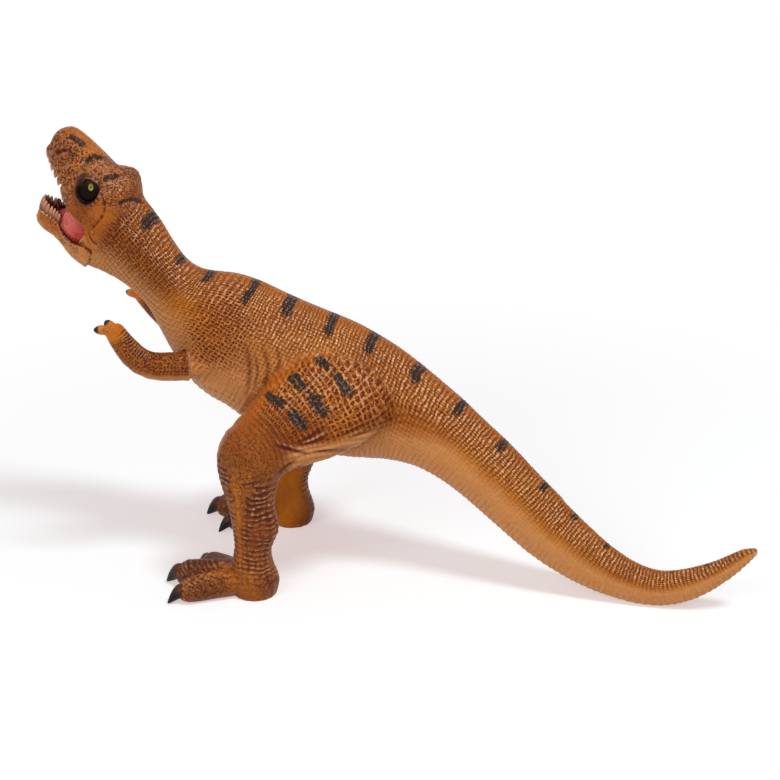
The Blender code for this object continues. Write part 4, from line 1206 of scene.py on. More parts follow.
def sculptHead(points, normals, head, paint):
    # works on the points of the head only
    side = points[:, [0, 2]]
    forward, upward = headShares(points)
    outer = sideShare(points, 2.0, 5.0)
    seen = asSeen(points, 9)
    height = np.zeros(len(points))
    eyeDepth = insideDistance(side, curved(face["eye"] + face["eye"][:1], 4))
    nearSide = sideShare(points, 6.0, 8.0)
    height -= 1.15 * stroke(seen, face["nostril"], 0.75, 0.3) * outer
    for line, width, lift in face["ridges"]:
        height += lift * stroke(side, line, width) * outer
    height += 0.70 * roundSpot(side, face["nostrilMound"], 2.2) * outer
    crease, _ = lineDistance(side, curved(face["crease"], 6))
    dotted = 0.72 + 0.7 * layeredNoise(points, 1.5, 191)
    height -= 0.70 * bell(crease, 0.65) * nearSide * dotted
    height += 0.14 * bell(crease - 1.6, 0.7) * nearSide
    height -= 0.45 * stroke(side, face["creaseBranch"], 0.5) * nearSide
    height += 0.38 * stroke(side, face["cheekRim"], 0.6) * nearSide
    for centre, width, lift in face["cheeks"]:
        height += lift * roundSpot(side, centre, width) * nearSide
    height -= skinShape["eyeSocket"] * smoothStep(eyeDepth, -0.2, 1.2) * nearSide
    rim = bell(eyeDepth + 0.9, 0.8) * nearSide
    fromEye = side - np.array(face["eyeMiddle"])
    beads = 0.5 + 0.5 * np.cos(np.arctan2(fromEye[:, 1], fromEye[:, 0]) * face["eyeBeads"])
    height += rim * (0.35 + 0.30 * beads * smoothStep(side[:, 0], -133, -128))
    for centre in face["lipDots"] + face["crestDots"]:
        spot = roundSpot(side, centre, 0.5)
        height -= 0.35 * spot * outer
        paint["darkPaintAndShade"] = np.maximum(paint["darkPaintAndShade"], 0.9 * smoothStep(spot, 0.3, 0.8))

    # pits over the face, warts behind the eye, and the neck's rows coming in
    shaken = np.stack([layeredNoise(points, 2.2, seed, 2) for seed in (141, 142, 143)], axis=1)
    squashed = points + 0.35 * shaken
    near, following = cellNoise(squashed, skinShape["pitPitch"], 151)
    pit = 1 - smoothStep(near, 0.14, 0.40)
    lumps = smoothStep(following - near, 0.02, 0.35)
    snout = smoothStep(forward + 0.5 * upward, 0.42, 0.58)
    behind = 1 - smoothStep(forward, 0.24, 0.36)
    crownTop = smoothStep(upward, 0.46, 0.54) * smoothStep(forward, 0.5, 0.6)
    faceShare = limited(snout * (1 - 0.7 * crownTop)) * (1 - smoothStep(eyeDepth, -1.6, -0.4) * nearSide)
    warts = behind * smoothStep(upward, 0.18, 0.30)
    height -= skinShape["facePits"] * head * pit * faceShare
    height += skinShape["faceLumps"] * head * (lumps - 0.5) * (0.5 * faceShare + warts)
    patchy = smoothStep(layeredNoise(points, 3.5, 161, 2), -0.55, 0.05)
    cheek, jowl, nape, smoky = (roundSpot(side, *face[name]) for name in ("cheek", "jowl", "nape", "smoky"))
    headPits = faceShare * (0.60 + 0.40 * patchy) + 0.45 * cheek * patchy + 0.55 * warts * (1 - 0.8 * jowl)
    paint["pitMask"] = limited(paint["pitMask"] * (1 - head) + head * headPits
                               + 0.6 * nape)
    paint["darkPaintAndShade"] = limited(paint["darkPaintAndShade"] + 0.30 * head * faceShare * patchy)
    # red-brown paint over the head, with painted shade on the cheek
    paint["redPaintAndShade"] = limited(paint["redPaintAndShade"] + head * (0.36 * cheek + 0.25 * warts * patchy + 0.15))
    specks = np.maximum.reduce([roundSpot(side, centre, width) for centre, width in face["speckled"]])
    lightDots = smoothStep(lumps, 0.35, 0.8) * smoothStep(softNoise(points, 1.6, 171), -0.25, 0.15)
    # pale specks and a paler lip edge, with a painted highlight along the cheek's rim
    edge = stroke(side, face["lip"], 0.8) + stroke(side, face["cheekRim"], 0.7) * nearSide
    paint["blushAndHighlight"] = limited(0.85 * specks * lightDots * outer + 0.70 * edge * outer
                                  + 0.28 * head * faceShare * (1 - pit) * smoothStep(near, 0.5, 0.8))
    ragged = 0.5 * layeredNoise(points, 2.5, 181, 2)
    for line, width, strength in face["marks"]:
        reach = lineDistance(seen, curved(line, 4))[0] + ragged
        mark = strength * (1 - smoothStep(reach, width * 0.2, width * 1.35))
        paint["stripeMask"] = np.maximum(paint["stripeMask"], mark)
    socket = smoothStep(eyeDepth, -0.5, 0.6) * nearSide
    halo = smoothStep(eyeDepth + 0.5 * layeredNoise(points, 2.0, 195), -2.4, 0.0) * nearSide
    paint["blackPaint"] = 0.96 * socket
    creaseDots = smoothStep(bell(crease, 0.55) * dotted, 0.25, 0.75) * nearSide
    paint["darkPaintAndShade"] = limited(paint["darkPaintAndShade"] + 0.9 * creaseDots + 0.55 * smoky * nearSide
                                 + 0.80 * halo
                                 + 1.2 * stroke(seen, face["nostril"], 0.85, 0.3) * outer
                                 + 0.6 * rim * (1 - beads) * smoothStep(side[:, 0], -134, -129))
    bare = 0.6 * crownTop + 0.5 * behind * (1 - warts)
    paint["orangeMask"] = limited(paint["orangeMask"] + head * bare)

    # inside of the mouth, where the surface faces the middle of the cavity
    lipLine = np.interp(forward, [-0.1, 0.2, 0.48, 0.70, 0.93], [-0.15, -0.12, -0.05, 0.10, 0.24])
    axis = forward[:, None] * headForward + (lipLine - 0.05)[:, None] * headUp
    offset = points - neckSeam - headLength * axis
    inward = -np.einsum("ij,ij->i", normals, offset) / np.linalg.norm(offset, axis=1)
    inside = smoothStep(inward, 0.05, 0.45) * smoothStep(forward, 0.02, 0.06) * (forward < 1.01)
    paint["mouthMask"] = inside
    height *= 1 - inside
    cast = castTeeth(points, teethShape["upper"])
    height = height * (1 - cast) - skinShape["castTeeth"] * cast
    palate = wave(forward * headLength, skinShape["palatePitch"]) * smoothStep(-upward, -0.30, -0.10)
    return height + skinShape["palate"] * inside * palate


def sculptSkin(mesh):
    points, normals = readPoints(mesh), readNormals(mesh)
    paint = {}
    height, head = sculptBody(points, paint)
    for name in ("blushAndHighlight", "blackPaint", "mouthMask"):
        paint[name] = np.zeros(len(points))
    chosen = np.nonzero(head > 0.001)[0]
    headPaint = {name: values[chosen] for name, values in paint.items()}
    height[chosen] += sculptHead(points[chosen], normals[chosen], head[chosen], headPaint)
    for name, values in headPaint.items():
        paint[name][chosen] = values
    paint["hatchMask"] *= 1 - paint["mouthMask"]
    points = points + normals * height[:, None]
    points[:, 2] = np.maximum(points[:, 2], 0.0)
    writePoints(mesh, points)
    # the hollows take painted shade and the ridges a painted highlight, less of it by the jaw
    byJaw = roundSpot(points[:, [0, 2]], (-129.0, 141.5), 4.5)
    paint["cavity"] = hollowness(mesh) * np.where(head > 0.5, 0.45, 1.0) * (1 - byJaw)
    return paint


def castingOf(points, paint):
    # 0 trunk, 1 tail, 2 left leg, 3 right leg, 4 head
    label = np.zeros(len(points), int)
    label[(points - tailSeam) @ tailAxis > 0] = 1
    leg = paint["legMask"] > 0.5
    label[leg] = np.where(points[leg, 1] < 0, 2, 3)
    label[headShares(points)[0] > 0.0] = 4
    return label


def splitSkin(mesh, paint):
    # one closed mesh for each casting; each cut is closed by a fan that hides inside
    points, normals = readPoints(mesh), readNormals(mesh)
    label = mergedIslands(castingOf(points, paint), readEdges(mesh))
    corners, sizes = faceCorners(mesh)
    owner = label[corners[:, 0]]
    count = len(points)
    steps = [(corners[:, k], np.where(sizes == k + 1, corners[:, 0], corners[:, min(k + 1, 3)]), k < sizes)
             for k in range(4)]
    starts = np.concatenate([a[used] for a, b, used in steps])
    ends = np.concatenate([b[used] for a, b, used in steps])
    owners = np.concatenate([owner[used] for a, b, used in steps])
    keys, order = np.unique(starts.astype(np.int64) * count + ends, return_index=True)
    found = np.searchsorted(keys, ends.astype(np.int64) * count + starts).clip(0, len(keys) - 1)
    neighbour = owners[order[found]]
    pieces = []
    for piece, name in enumerate(skinNames):
        mine = owner == piece
        faces = corners[mine]
        used = np.unique(faces)
        place = np.full(count, -1)
        place[used] = np.arange(len(used))
        polygons = [tuple(row[:size]) for row, size in zip(place[faces].tolist(), sizes[mine].tolist())]
        spots, spotNormals = points[used].tolist(), normals[used].tolist()
        border = (owners == piece) & (neighbour != piece)
        for other in np.unique(neighbour[border]):
            cut = border & (neighbour == other)
            tip = len(spots)
            spots.append(cutTips.get((min(piece, other), max(piece, other)), spareTip))
            spotNormals.append([0.0, 0.0, 1.0])
            polygons += [(place[b], place[a], tip) for a, b in zip(starts[cut], ends[cut])]
        part = bpy.data.meshes.new(name)
        part.from_pydata([tuple(c * mm for c in spot) for spot in spots], [], polygons)
        for paintName, values in paint.items():
            storeValues(part, paintName, np.concatenate([values[used], np.zeros(len(spots) - len(used))]))
        made = addPiece(name, part, skinMaterial)
        part.normals_split_custom_set_from_vertices(spotNormals)
        pieces.append(made)
        print("skin:", name, len(part.polygons), "faces")
    return pieces


skinMesh = buildSkin()
skinValues = sculptSkin(skinMesh)
headPoints = readPoints(skinMesh)
headPoints = headPoints[headShares(headPoints)[0] > 0.1]
print("skin: sculpted")
for skinPiece, nodeName in zip(splitSkin(skinMesh, skinValues), figureNodes):
    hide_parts(nodeName)
    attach(skinPiece, "figure")


def buildTeeth(name, kind, body):
    # two rows of small curved pegs
    look = teethShape[kind]
    forms = []
    for root, direction, size in toothPlaces(look):
        centres, halves = [], []
        for share, full in look["profile"]:
            bend = headForward * look["bend"] * max(share, 0) ** 2 * size
            centres.append(root + direction * look["height"] * size * share * look["long"] + bend)
            thick = full * look["radius"] * size
            halves.append((thick, thick * look["wide"]))
        forms.append(sweptForm(centres, halves, (0, 1, 0), 10))
    mesh, shares = formsMesh(name, forms)
    storeValues(mesh, "tipShare", smoothStep(shares, 0.25, 0.95))
    storeValues(mesh, "linePaint", bell(shares - 0.24, 0.13))
    piece = addPiece(name, mesh, toothMaterial)
    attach(piece, body)


buildTeeth("upper_teeth", "upper", "figure")
buildTeeth("lower_teeth", "lower", "jaw")
print("teeth: ready")


# the eyes are glossy domes in the sockets
eyeLook = {
    "iris": (-130.9, 172.6),      # mm in side view
    "irisHalf": (1.05, 1.45),
    "bulge": 1.5, "sunk": 1.15, "rings": 14,
    "irisColour": srgb(190, 178, 84), "irisPatches": srgb(120, 96, 30),
    "pupilColour": srgb(24, 18, 10),
    "ballColour": srgb(24, 11, 6), "warmColour": srgb(66, 30, 14),
    "roughness": (0.24, 0.38), "specular": 0.06, "grainScale": 1500.0, "grainDepth": 0.00004,
}


def buildEyeMaterial():
    made, tree, shader, place = newMaterial("eyePaint")
    mottle = useGroup(tree, mottleGroup, Place=place)
    ball = blendColour(tree, meshValue(tree, "warmShare"), eyeLook["ballColour"], eyeLook["warmColour"])
    patches = times(tree, mottle["Fine"], 0.4)
    iris = blendColour(tree, patches, eyeLook["irisColour"], eyeLook["irisPatches"])
    base = blendColour(tree, meshValue(tree, "irisShare"), ball, iris)
    base = blendColour(tree, meshValue(tree, "pupilShare"), base, eyeLook["pupilColour"])
    feed(tree, shader.inputs["Base Color"], base)
    feed(tree, shader.inputs["Roughness"], fade(tree, mottle["Fine"], 0.0, 1.0, *eyeLook["roughness"]))
    grain = useGroup(tree, grainGroup, Place=place, Scale=eyeLook["grainScale"])
    addBump(tree, shader, grain["Height"], eyeLook["grainDepth"])
    setPlain(shader, Specular_IOR_Level=eyeLook["specular"])
    return made


eyeMaterial = buildEyeMaterial()


def buildEye(name, side, skinPoints):
    # a dome over the outline of the eye, on the plane of the skin round it
    outline = curved(face["eye"] + face["eye"][:1], 5)[:-1]
    centre = outline.mean(0)
    flat = skinPoints[:, [0, 2]]
    ring = insideDistance(flat, outline)
    level = skinPoints[:, 1] * side
    around = (ring < -0.6) & (ring > -2.2) & (level > 5)
    fit = np.column_stack([flat[around] - centre, np.ones(around.sum())])
    slope = np.linalg.lstsq(fit, level[around], rcond=None)[0]
    rings, spots, points = eyeLook["rings"], len(outline), []
    for index in range(rings + 1):
        share = 1.04 * (1 - index / rings) + 0.02
        bulge = eyeLook["bulge"] * max(1 - min(share, 1) ** 2, 0) ** 0.5 - eyeLook["sunk"]
        for x, z in centre + (outline - centre) * share:
            depth = slope[0] * (x - centre[0]) + slope[1] * (z - centre[1]) + slope[2]
            points.append((x, side * (depth + bulge), z))
    faces = ringFaces(rings, spots)
    faces.append(tuple(range(rings * spots, (rings + 1) * spots)))
    points.append((centre[0], side * (slope[2] - 1.8), centre[1]))
    faces += [(step, (step + 1) % spots, len(points) - 1) for step in range(spots)]
    mesh, _ = formsMesh(name, [(points, faces, [0.0] * len(points))])
    places = np.array(points)[:, [0, 2]]
    away = (places - np.array(eyeLook["iris"])) / np.array(eyeLook["irisHalf"])
    oval = np.hypot(away[:, 0], away[:, 1])
    storeValues(mesh, "irisShare", 1 - smoothStep(oval, 0.85, 1.15))
    storeValues(mesh, "pupilShare", 1 - smoothStep(np.hypot(away[:, 0] * 2.6, away[:, 1] * 1.7), 0.7, 1.2))
    storeValues(mesh, "warmShare", smoothStep(places[:, 1] - centre[1], 0.0, 5.0))
    piece = addPiece(name, mesh, eyeMaterial)
    refine = piece.modifiers.new("rounder", "SUBSURF")
    refine.levels = refine.render_levels = 1
    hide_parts(name.replace("ball", ""))
    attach(piece, "figure")


buildEye("left_eyeball", leftSide, headPoints)
buildEye("right_eyeball", rightSide, headPoints)
print("eyes: ready")


# the lower jaw with its lips
jawShape = {
    "voxel": 0.00035,
    "pitPitch": 1.15, "creasePitch": 1.9, "foldPitch": 2.6,
    "rearReach": 1.7,       # mm that the rear edge laps into the neck
    # heights in mm
    "lipRim": 0.35, "pits": 0.14, "creases": 0.14, "folds": 0.13, "lensCut": 0.55, "lumps": 0.20,
    "castTeeth": 0.40,
    # lines in side view
    "lip": [(-157.6, 161.2), (-155.8, 160.8), (-154.4, 158.5), (-151.6, 157.4), (-149.3, 156.8),
            (-146.5, 156.5)],
    "lensGroove": [(-144.7, 160.3), (-146.1, 157.1), (-146.1, 153.1), (-144.7, 149.5), (-141.7, 147.3),
                   (-136.9, 146.7), (-133.3, 146.9)],
}


def buildJaw():
    mesh = fusedMesh("jaw_skin", [frame["nodes"]["lower_jaw"].data], jawShape["voxel"])
    keepLargestShell(mesh)
    points = readPoints(mesh)
    relaxFacets(mesh, np.full(len(points), 0.35), 20)
    points, normals = readPoints(mesh), readNormals(mesh)
    side = points[:, [0, 2]]
    forward, upward = headShares(points)
    outward = np.clip(normals[:, 1] * np.sign(points[:, 1]), -1, 1)
    outside = smoothStep(np.maximum(outward, -(normals @ headUp)), -0.05, 0.35)
    under = smoothStep(-(normals @ headUp), 0.35, 0.8) * outside
    height = np.zeros(len(points))
    near, _ = cellNoise(points, jawShape["pitPitch"], 211)
    pit = 1 - smoothStep(near, 0.14, 0.40)
    patchy = smoothStep(layeredNoise(points, 3.5, 221, 2), -0.4, 0.2)
    lip = stroke(side, jawShape["lip"], 1.1) * outside
    height += jawShape["lipRim"] * lip
    height -= jawShape["pits"] * pit * outside * (1 - 0.6 * under)
    creases = wave(points[:, 1] + 0.8 * softNoise(points, 7, 231), jawShape["creasePitch"])
    height += jawShape["creases"] * creases * under
    folds = wave(upward * headLength + 0.8 * layeredNoise(points, 6, 241), jawShape["foldPitch"])
    sides = outside * (1 - under)
    height += jawShape["folds"] * folds * sides * smoothStep(-upward, 0.30, 0.38)
    height -= jawShape["lensCut"] * stroke(side, jawShape["lensGroove"], 0.7) * sides
    height += jawShape["lumps"] * layeredNoise(points, 6, 251) * outside
    cast = castTeeth(points, teethShape["lower"])
    height = height * (1 - cast) - jawShape["castTeeth"] * cast
    rear = (1 - smoothStep(forward * headLength, 2.2, 5.0)) * jawShape["rearReach"]
    points = points - rear[:, None] * headForward
    writePoints(mesh, points + normals * height[:, None])
    # hollows of the jaw, for painted shade and painted highlight
    storeValues(mesh, "cavity", hollowness(mesh) * 0.8 * smoothStep(forward, 0.08, 0.20))
    dashes = smoothStep(-creases, 0.45, 0.9) * smoothStep(softNoise(points, 1.8, 261), 0.0, 0.3)
    # painted shade along the tooth line and in the groove round the lens
    toothLineShade = bell(np.abs(upward + 0.30), 0.03) * smoothStep(normals @ headUp, 0.3, 0.8)
    groove = stroke(side, jawShape["lensGroove"], 0.8) * sides
    storeValues(mesh, "darkPaintAndShade", limited(0.55 * pit * patchy * sides + 0.55 * dashes * under + 0.75 * toothLineShade
                                           + 0.8 * groove))
    storeValues(mesh, "bellyMask", limited(0.60 * sides * smoothStep(-upward, 0.33, 0.42) + 0.9 * under
                                           + 0.7 * outside * (1 - smoothStep(forward, 0.12, 0.36))))
    storeValues(mesh, "pitMask", limited(0.45 * sides * patchy + 0.2 * under))
    storeValues(mesh, "blushAndHighlight", 0.30 * lip * (1 - pit))
    storeValues(mesh, "mouthMask", (1 - outside) * (1 - smoothStep(upward, -0.28, -0.25)))
    piece = addPiece("jaw_skin", mesh, skinMaterial)
    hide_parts("lower_jaw")
    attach(piece, "jaw")


liningShape = {
    "voxel": 0.00033,
    # edge of the cheek lining in side view, mm
    "edge": [(-143.6, 160.4), (-144.9, 157.1), (-144.9, 153.5), (-143.6, 150.8), (-141.2, 148.7), (-137.6, 147.5),
             (-133.9, 147.4), (-134.6, 151.6), (-136.6, 156.0), (-139.8, 159.6)],
    "inner": 5.9, "rim": 7.7, "crown": 8.6,      # distances from the middle, mm
    "rings": 8,
    "ridgePitch": 1.35, "ridges": 0.10,          # mm
}


def cheekForm(side):
    # a flat closed lens that fills the corner of the mouth
    edge = curved(liningShape["edge"] + liningShape["edge"][:1], 4)[:-1]
    centre = edge.mean(0)
    spots, rings, points = len(edge), liningShape["rings"], []
    for index in range(rings + 1):
        share = 1 - index / rings
        level = liningShape["rim"] + (liningShape["crown"] - liningShape["rim"]) * (1 - share ** 2)
        for x, z in centre + (edge - centre) * max(share, 0.02):
            points.append((x, side * level, z))
    faces = ringFaces(rings, spots)
    faces.append(tuple(range(rings * spots, (rings + 1) * spots)))
    back = len(points)
    points += [(x, side * liningShape["inner"], z) for x, z in edge]
    faces.append(tuple(range(back, back + spots)))
    faces += [(step, (step + 1) % spots, back + (step + 1) % spots, back + step) for step in range(spots)]
    return points, faces, [0.0] * len(points)


def buildLining():
    slabs = [formsMesh("cheek", [cheekForm(side)])[0] for side in (leftSide, rightSide)]
    mesh = fusedMesh("mouth_lining", [frame["nodes"]["mouth_insert"].data] + slabs, liningShape["voxel"])
    relaxFacets(mesh, np.full(len(mesh.vertices), 0.30), 16)
    points, normals = readPoints(mesh), readNormals(mesh)
    side = points[:, [0, 2]]
    lens = smoothStep(insideDistance(side, liningShape["edge"]), 0.0, 2.0) * sideShare(points, 6.8, 7.5)
    forward = headShares(points)[0]
    ridges = wave(forward * headLength + 0.5 * layeredNoise(points, 5, 301), liningShape["ridgePitch"])
    height = liningShape["ridges"] * ridges * (1 - 0.8 * lens)
    height += (0.16 + 0.2 * lens) * layeredNoise(points, 3.5, 311)
    writePoints(mesh, points + normals * height[:, None])
    redPatches = lens * smoothStep(layeredNoise(points, 3.0, 321, 2), 0.0, 0.5)
    rearward = smoothStep(side[:, 0] - side[:, 1], -300.5, -284)
    storeValues(mesh, "tipShare", limited(rearward + 0.8 * redPatches))
    storeValues(mesh, "linePaint", limited(0.45 * smoothStep(-ridges, 0.5, 1.0) * (1 - 0.8 * lens)
                                           + 0.9 * (1 - sideShare(points, 4.5, 7.0))))
    piece = addPiece("mouth_lining", mesh, mouthMaterial)
    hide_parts("mouth_insert")
    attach(piece, "jaw")


tongueShape = {
    "voxel": 0.00030,
    "furrow": 0.40, "bumps": 0.08, "bumpPitch": 0.9,     # mm
}


def buildTongue():
    mesh = fusedMesh("tongue_flesh", [frame["nodes"]["tongue"].data], tongueShape["voxel"])
    relaxFacets(mesh, np.full(len(mesh.vertices), 0.5), 16)
    points, normals = readPoints(mesh), readNormals(mesh)
    above = smoothStep(normals @ headUp, 0.1, 0.6)
    near, following = cellNoise(points, tongueShape["bumpPitch"], 331)
    height = -tongueShape["furrow"] * bell(points[:, 1], 0.7) * above
    height += tongueShape["bumps"] * (following - near) * above
    writePoints(mesh, points + normals * height[:, None])
    storeValues(mesh, "tipShare", smoothStep(headShares(points)[0], 0.45, 0.60))
    storeValues(mesh, "linePaint", bell(points[:, 1], 0.6) * above)
    piece = addPiece("tongue_flesh", mesh, tongueMaterial)
    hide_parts("tongue")
    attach(piece, "jaw")


buildJaw()
buildLining()
buildTongue()
print("mouth: jaw, lining and tongue ready")


armShape = {
    "voxel": 0.00035,
    "length": 33.0, "half": 6.0,         # mm, half is half the thickness
    # middle of the arm: along the shoulder's axis and up, in shares of its length
    "line": [(0.0, 0.0), (0.16, -0.005), (0.33, 0.0), (0.48, 0.02), (0.61, 0.08), (0.71, 0.17), (0.80, 0.285),
             (0.88, 0.40), (0.94, 0.495), (0.98, 0.555)],
    "fingers": [((0.92, 0.51), (1.215, 0.52)), ((0.93, 0.52), (1.08, 0.70))],
    "turn": {leftSide: 0.0, rightSide: -29.0},   # degrees about the shoulder's axis
    "lap": 0.9,                # mm that the root reaches into the shoulder
    "wrinklePitch": 1.45, "pitPitch": 1.5, "rowPitch": 1.5, "bandPitch": 1.7,
    # heights in mm
    "wrinkles": 0.22, "rootRim": 0.25, "pits": 0.15, "lumps": 0.22, "knuckles": 0.15,
}


def cutForm(mesh, place, direction):
    # what lies behind the plane is cut off, and the cut is closed
    with editing(mesh) as form:
        bmesh.ops.bisect_plane(form, geom=form.verts[:] + form.edges[:] + form.faces[:],
                               plane_co=place * mm, plane_no=direction, clear_inner=True)
        rim = [edge for edge in form.edges if edge.is_boundary]
        bmesh.ops.triangle_fill(form, edges=rim, use_beauty=True)
        bmesh.ops.recalc_face_normals(form, faces=form.faces[:])
    keepLargestShell(mesh)


def buildArm(name, side, node, body, joint):
    seam, axis = shoulderPlace(joint)
    upright = unit(np.array([0, 0, 1.0]) - axis * axis[2])
    turned = Matrix.Rotation(radians(armShape["turn"][side]), 3, Vector(axis * side)) @ Vector(upright)
    upright = np.array(turned)
    across = np.cross(axis, upright) * side
    mesh = fusedMesh(name, [frame["nodes"][node].data], armShape["voxel"])
    cutForm(mesh, seam + axis * 0.35, axis)
    points = readPoints(mesh)
    ahead = (points - seam) @ axis
    relaxFacets(mesh, smoothStep(ahead, 0.6, 3.0) * 0.8, 60)
    points, normals = readPoints(mesh), readNormals(mesh)
    ahead, up, inner = (points - seam) @ axis, (points - seam) @ upright, (points - seam) @ across
    points = points - ((1 - smoothStep(ahead, 0.4, 1.8)) * armShape["lap"])[:, None] * axis
    flat = np.stack([ahead, up], axis=1)
    line = curved(np.array(armShape["line"]) * armShape["length"], 5)
    _, share = lineDistance(flat, line)
    length = np.linalg.norm(np.diff(line, axis=0), axis=1).sum()

    def alongLine(values):
        steps = np.linspace(0, 1, len(line))
        return np.stack([np.interp(share, steps, values[:, k]) for k in (0, 1)], axis=1)

    # which side of the middle line a point is on: above 0 on the inside of the elbow
    heading = np.gradient(line, axis=0)
    normal = np.stack([-heading[:, 1], heading[:, 0]], axis=1)
    normal /= np.linalg.norm(normal, axis=1)[:, None]
    topShare = np.einsum("ij,ij->i", flat - alongLine(line), alongLine(normal)) / armShape["half"]
    free = smoothStep(ahead, 0.5, 2.0)
    along = share * length
    rough = layeredNoise(points, 5, 401, 2)
    wrinkle = along / armShape["wrinklePitch"] + 0.9 * rough
    forearm = smoothStep(share, 0.42, 0.55) * (1 - smoothStep(share, 0.92, 0.98))
    topEdge = bell(topShare - 0.50, 0.42) * forearm
    height = -armShape["wrinkles"] * (1 - grooves(wrinkle, 0.5)) * topEdge * free
    height += armShape["rootRim"] * (1 - smoothStep(ahead, 0.5, 2.5))
    # the small moulded ring on the elbow
    outerSide = smoothStep(-inner, -1, 2)
    elbow = np.hypot(share - 0.52, (topShare + 0.12) * 0.22) * length
    elbowRing = 0.40 * bell(elbow - 1.7, 0.6) - 0.35 * bell(elbow - 2.7, 0.5) - 0.3 * bell(elbow, 0.8)
    height += elbowRing * free * outerSide
    near, _ = cellNoise(points, armShape["pitPitch"], 411)
    pit = 1 - smoothStep(near, 0.12, 0.42)
    upper = (1 - forearm) * (1 - smoothStep(share, 0.90, 0.96)) * smoothStep(topShare, -0.5, -0.1)
    height -= armShape["pits"] * pit * upper * free
    height += armShape["lumps"] * layeredNoise(points, 9, 421) * free
    fingertip = np.zeros(len(points))
    for start, end in armShape["fingers"]:
        start, end = np.array(start) * armShape["length"], np.array(end) * armShape["length"]
        heading = unit(end - start)
        past = (flat - start) @ heading / np.linalg.norm(end - start)
        beside = np.abs((flat - start) @ np.array([-heading[1], heading[0]]))
        fingertip = np.maximum(fingertip, smoothStep(past, 0.74, 0.86) * (1 - smoothStep(beside, 2.5, 3.2)))
        knuckle = bell(past - 0.55, 0.05) * (1 - smoothStep(beside, 2.3, 3.0))
        height -= armShape["knuckles"] * knuckle
    writePoints(mesh, points + normals * height[:, None])
    # hollows of the arm, for painted shade and painted highlight
    storeValues(mesh, "cavity", hollowness(mesh) * 0.8)
    storeValues(mesh, "bodyRow", along / armShape["rowPitch"] + 0.4 * rough)
    turning = np.arctan2(topShare, inner / armShape["half"]) * armShape["half"]
    storeValues(mesh, "bodyBand", turning / armShape["bandPitch"] + 0.4 * rough)
    aboveWrist = 1 - smoothStep(share, 0.84, 0.92)
    storeValues(mesh, "hatchMask", 0.65 * (1 - fingertip) * aboveWrist)
    storeValues(mesh, "netMask", np.ones(len(points)))
    storeValues(mesh, "pitMask", 0.55 * smoothStep(topShare, -0.5, 0.0) * aboveWrist)
    beneath = smoothStep(-topShare, 0.15, 0.60) * (1 - smoothStep(share, 0.36, 0.62))
    edge = 0.45 * smoothStep(-topShare, 0.45, 0.8) * smoothStep(share, 0.4, 0.6)
    storeValues(mesh, "bellyMask", limited(beneath + edge) * (1 - fingertip))
    storeValues(mesh, "orangeMask", 0.7 * smoothStep(share, 0.9, 0.97) * (1 - fingertip))
    storeValues(mesh, "washMask", 1.5 * (1 - beneath))
    lines = (1 - grooves(wrinkle, 0.6)) * smoothStep(softNoise(points, 2.2, 431), -0.4, 0.1)
    ring = bell(elbow - 2.6, 0.7) * outerSide
    patches = 0.6 * pit + 0.25 * smoothStep(rough, -0.2, 0.3)
    patches *= upper * (1 - beneath)
    # red-brown paint in patches, with painted shade in the forearm's wrinkles and the elbow's groove
    storeValues(mesh, "redPaintAndShade", limited(0.95 * lines * topEdge + 0.8 * ring + patches))
    # a painted glint on the forearm's crests
    glint = grooves(wrinkle, 0.6) * bell(topShare - 0.78, 0.16) * forearm
    storeValues(mesh, "blushAndHighlight", 0.55 * glint * smoothStep(softNoise(points, 2.0, 441), -0.3, 0.2))
    storeValues(mesh, "blackPaint", fingertip * 0.95)
    piece = addPiece(name, mesh, skinMaterial)
    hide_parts(node)
    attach(piece, body)


shoulderJoints = {joint["name"]: joint for joint in frame["record"]["behaviour"]["joints"]}
buildArm("left_arm_skin", leftSide, "left_arm", "arm_left", shoulderJoints["left_shoulder"])
buildArm("right_arm_skin", rightSide, "right_arm", "arm_right", shoulderJoints["right_shoulder"])
print("arms: ready")


# the claws of the feet
clawShape = {
    # way outward in degrees, length, thickness and claw size of each toe
    "toes": [(30, 1.020, 1.060, 1.0), (-3, 1.060, 1.180, 1.0), (-36, 0.940, 1.030, 0.95)],
    "toeLength": 31.0, "thickness": 12.0, "length": 6.8,
    "start": 0.93,             # share of the toe at which the claw starts
    "half": 6.0, "narrow": 0.86,
    # along, height of the middle and size, from the toe to the tip
    "profile": [(-0.25, 0.430, 0.50), (-0.02, 0.430, 0.56), (0.16, 0.420, 0.56), (0.34, 0.375, 0.47),
                (0.52, 0.305, 0.37), (0.70, 0.215, 0.27), (0.84, 0.140, 0.18), (0.94, 0.088, 0.11),
                (1.00, 0.052, 0.05)],
}


def buildClaws(name, side):
    forms = []
    for turn, long, thick, size in clawShape["toes"]:
        heading = np.array([-cos(radians(turn)), side * sin(radians(turn)), 0.0])
        ankle = np.array([footAxis[0], side * footAxis[1], 0.0])
        root = ankle + heading * long * clawShape["toeLength"] * clawShape["start"]
        rows = curved(clawShape["profile"], 3)
        centres = [root + heading * along * clawShape["length"] * size
                   + np.array([0, 0, height * thick * clawShape["thickness"]]) for along, height, _ in rows]
        deep = clawShape["half"] * thick
        halves = [(full * deep * clawShape["narrow"], full * deep) for _, _, full in rows]
        points, faces, shares = sweptForm(centres, halves, np.cross(heading, (0, 0, 1.0)), 14)
        points = [np.array([p[0], p[1], max(p[2], 0.02)]) for p in points]     # clear of the floor
        forms.append((points, faces, shares))
    mesh, shares = formsMesh(name, forms)
    storeValues(mesh, "tipShare", smoothStep(shares, 0.18, 0.5))
    storeValues(mesh, "linePaint", bell(shares - 0.1, 0.06))
    piece = addPiece(name, mesh, clawMaterial)
    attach(piece, "figure")


buildClaws("left_foot_claws", leftSide)
buildClaws("right_foot_claws", rightSide)
print("claws: ready")


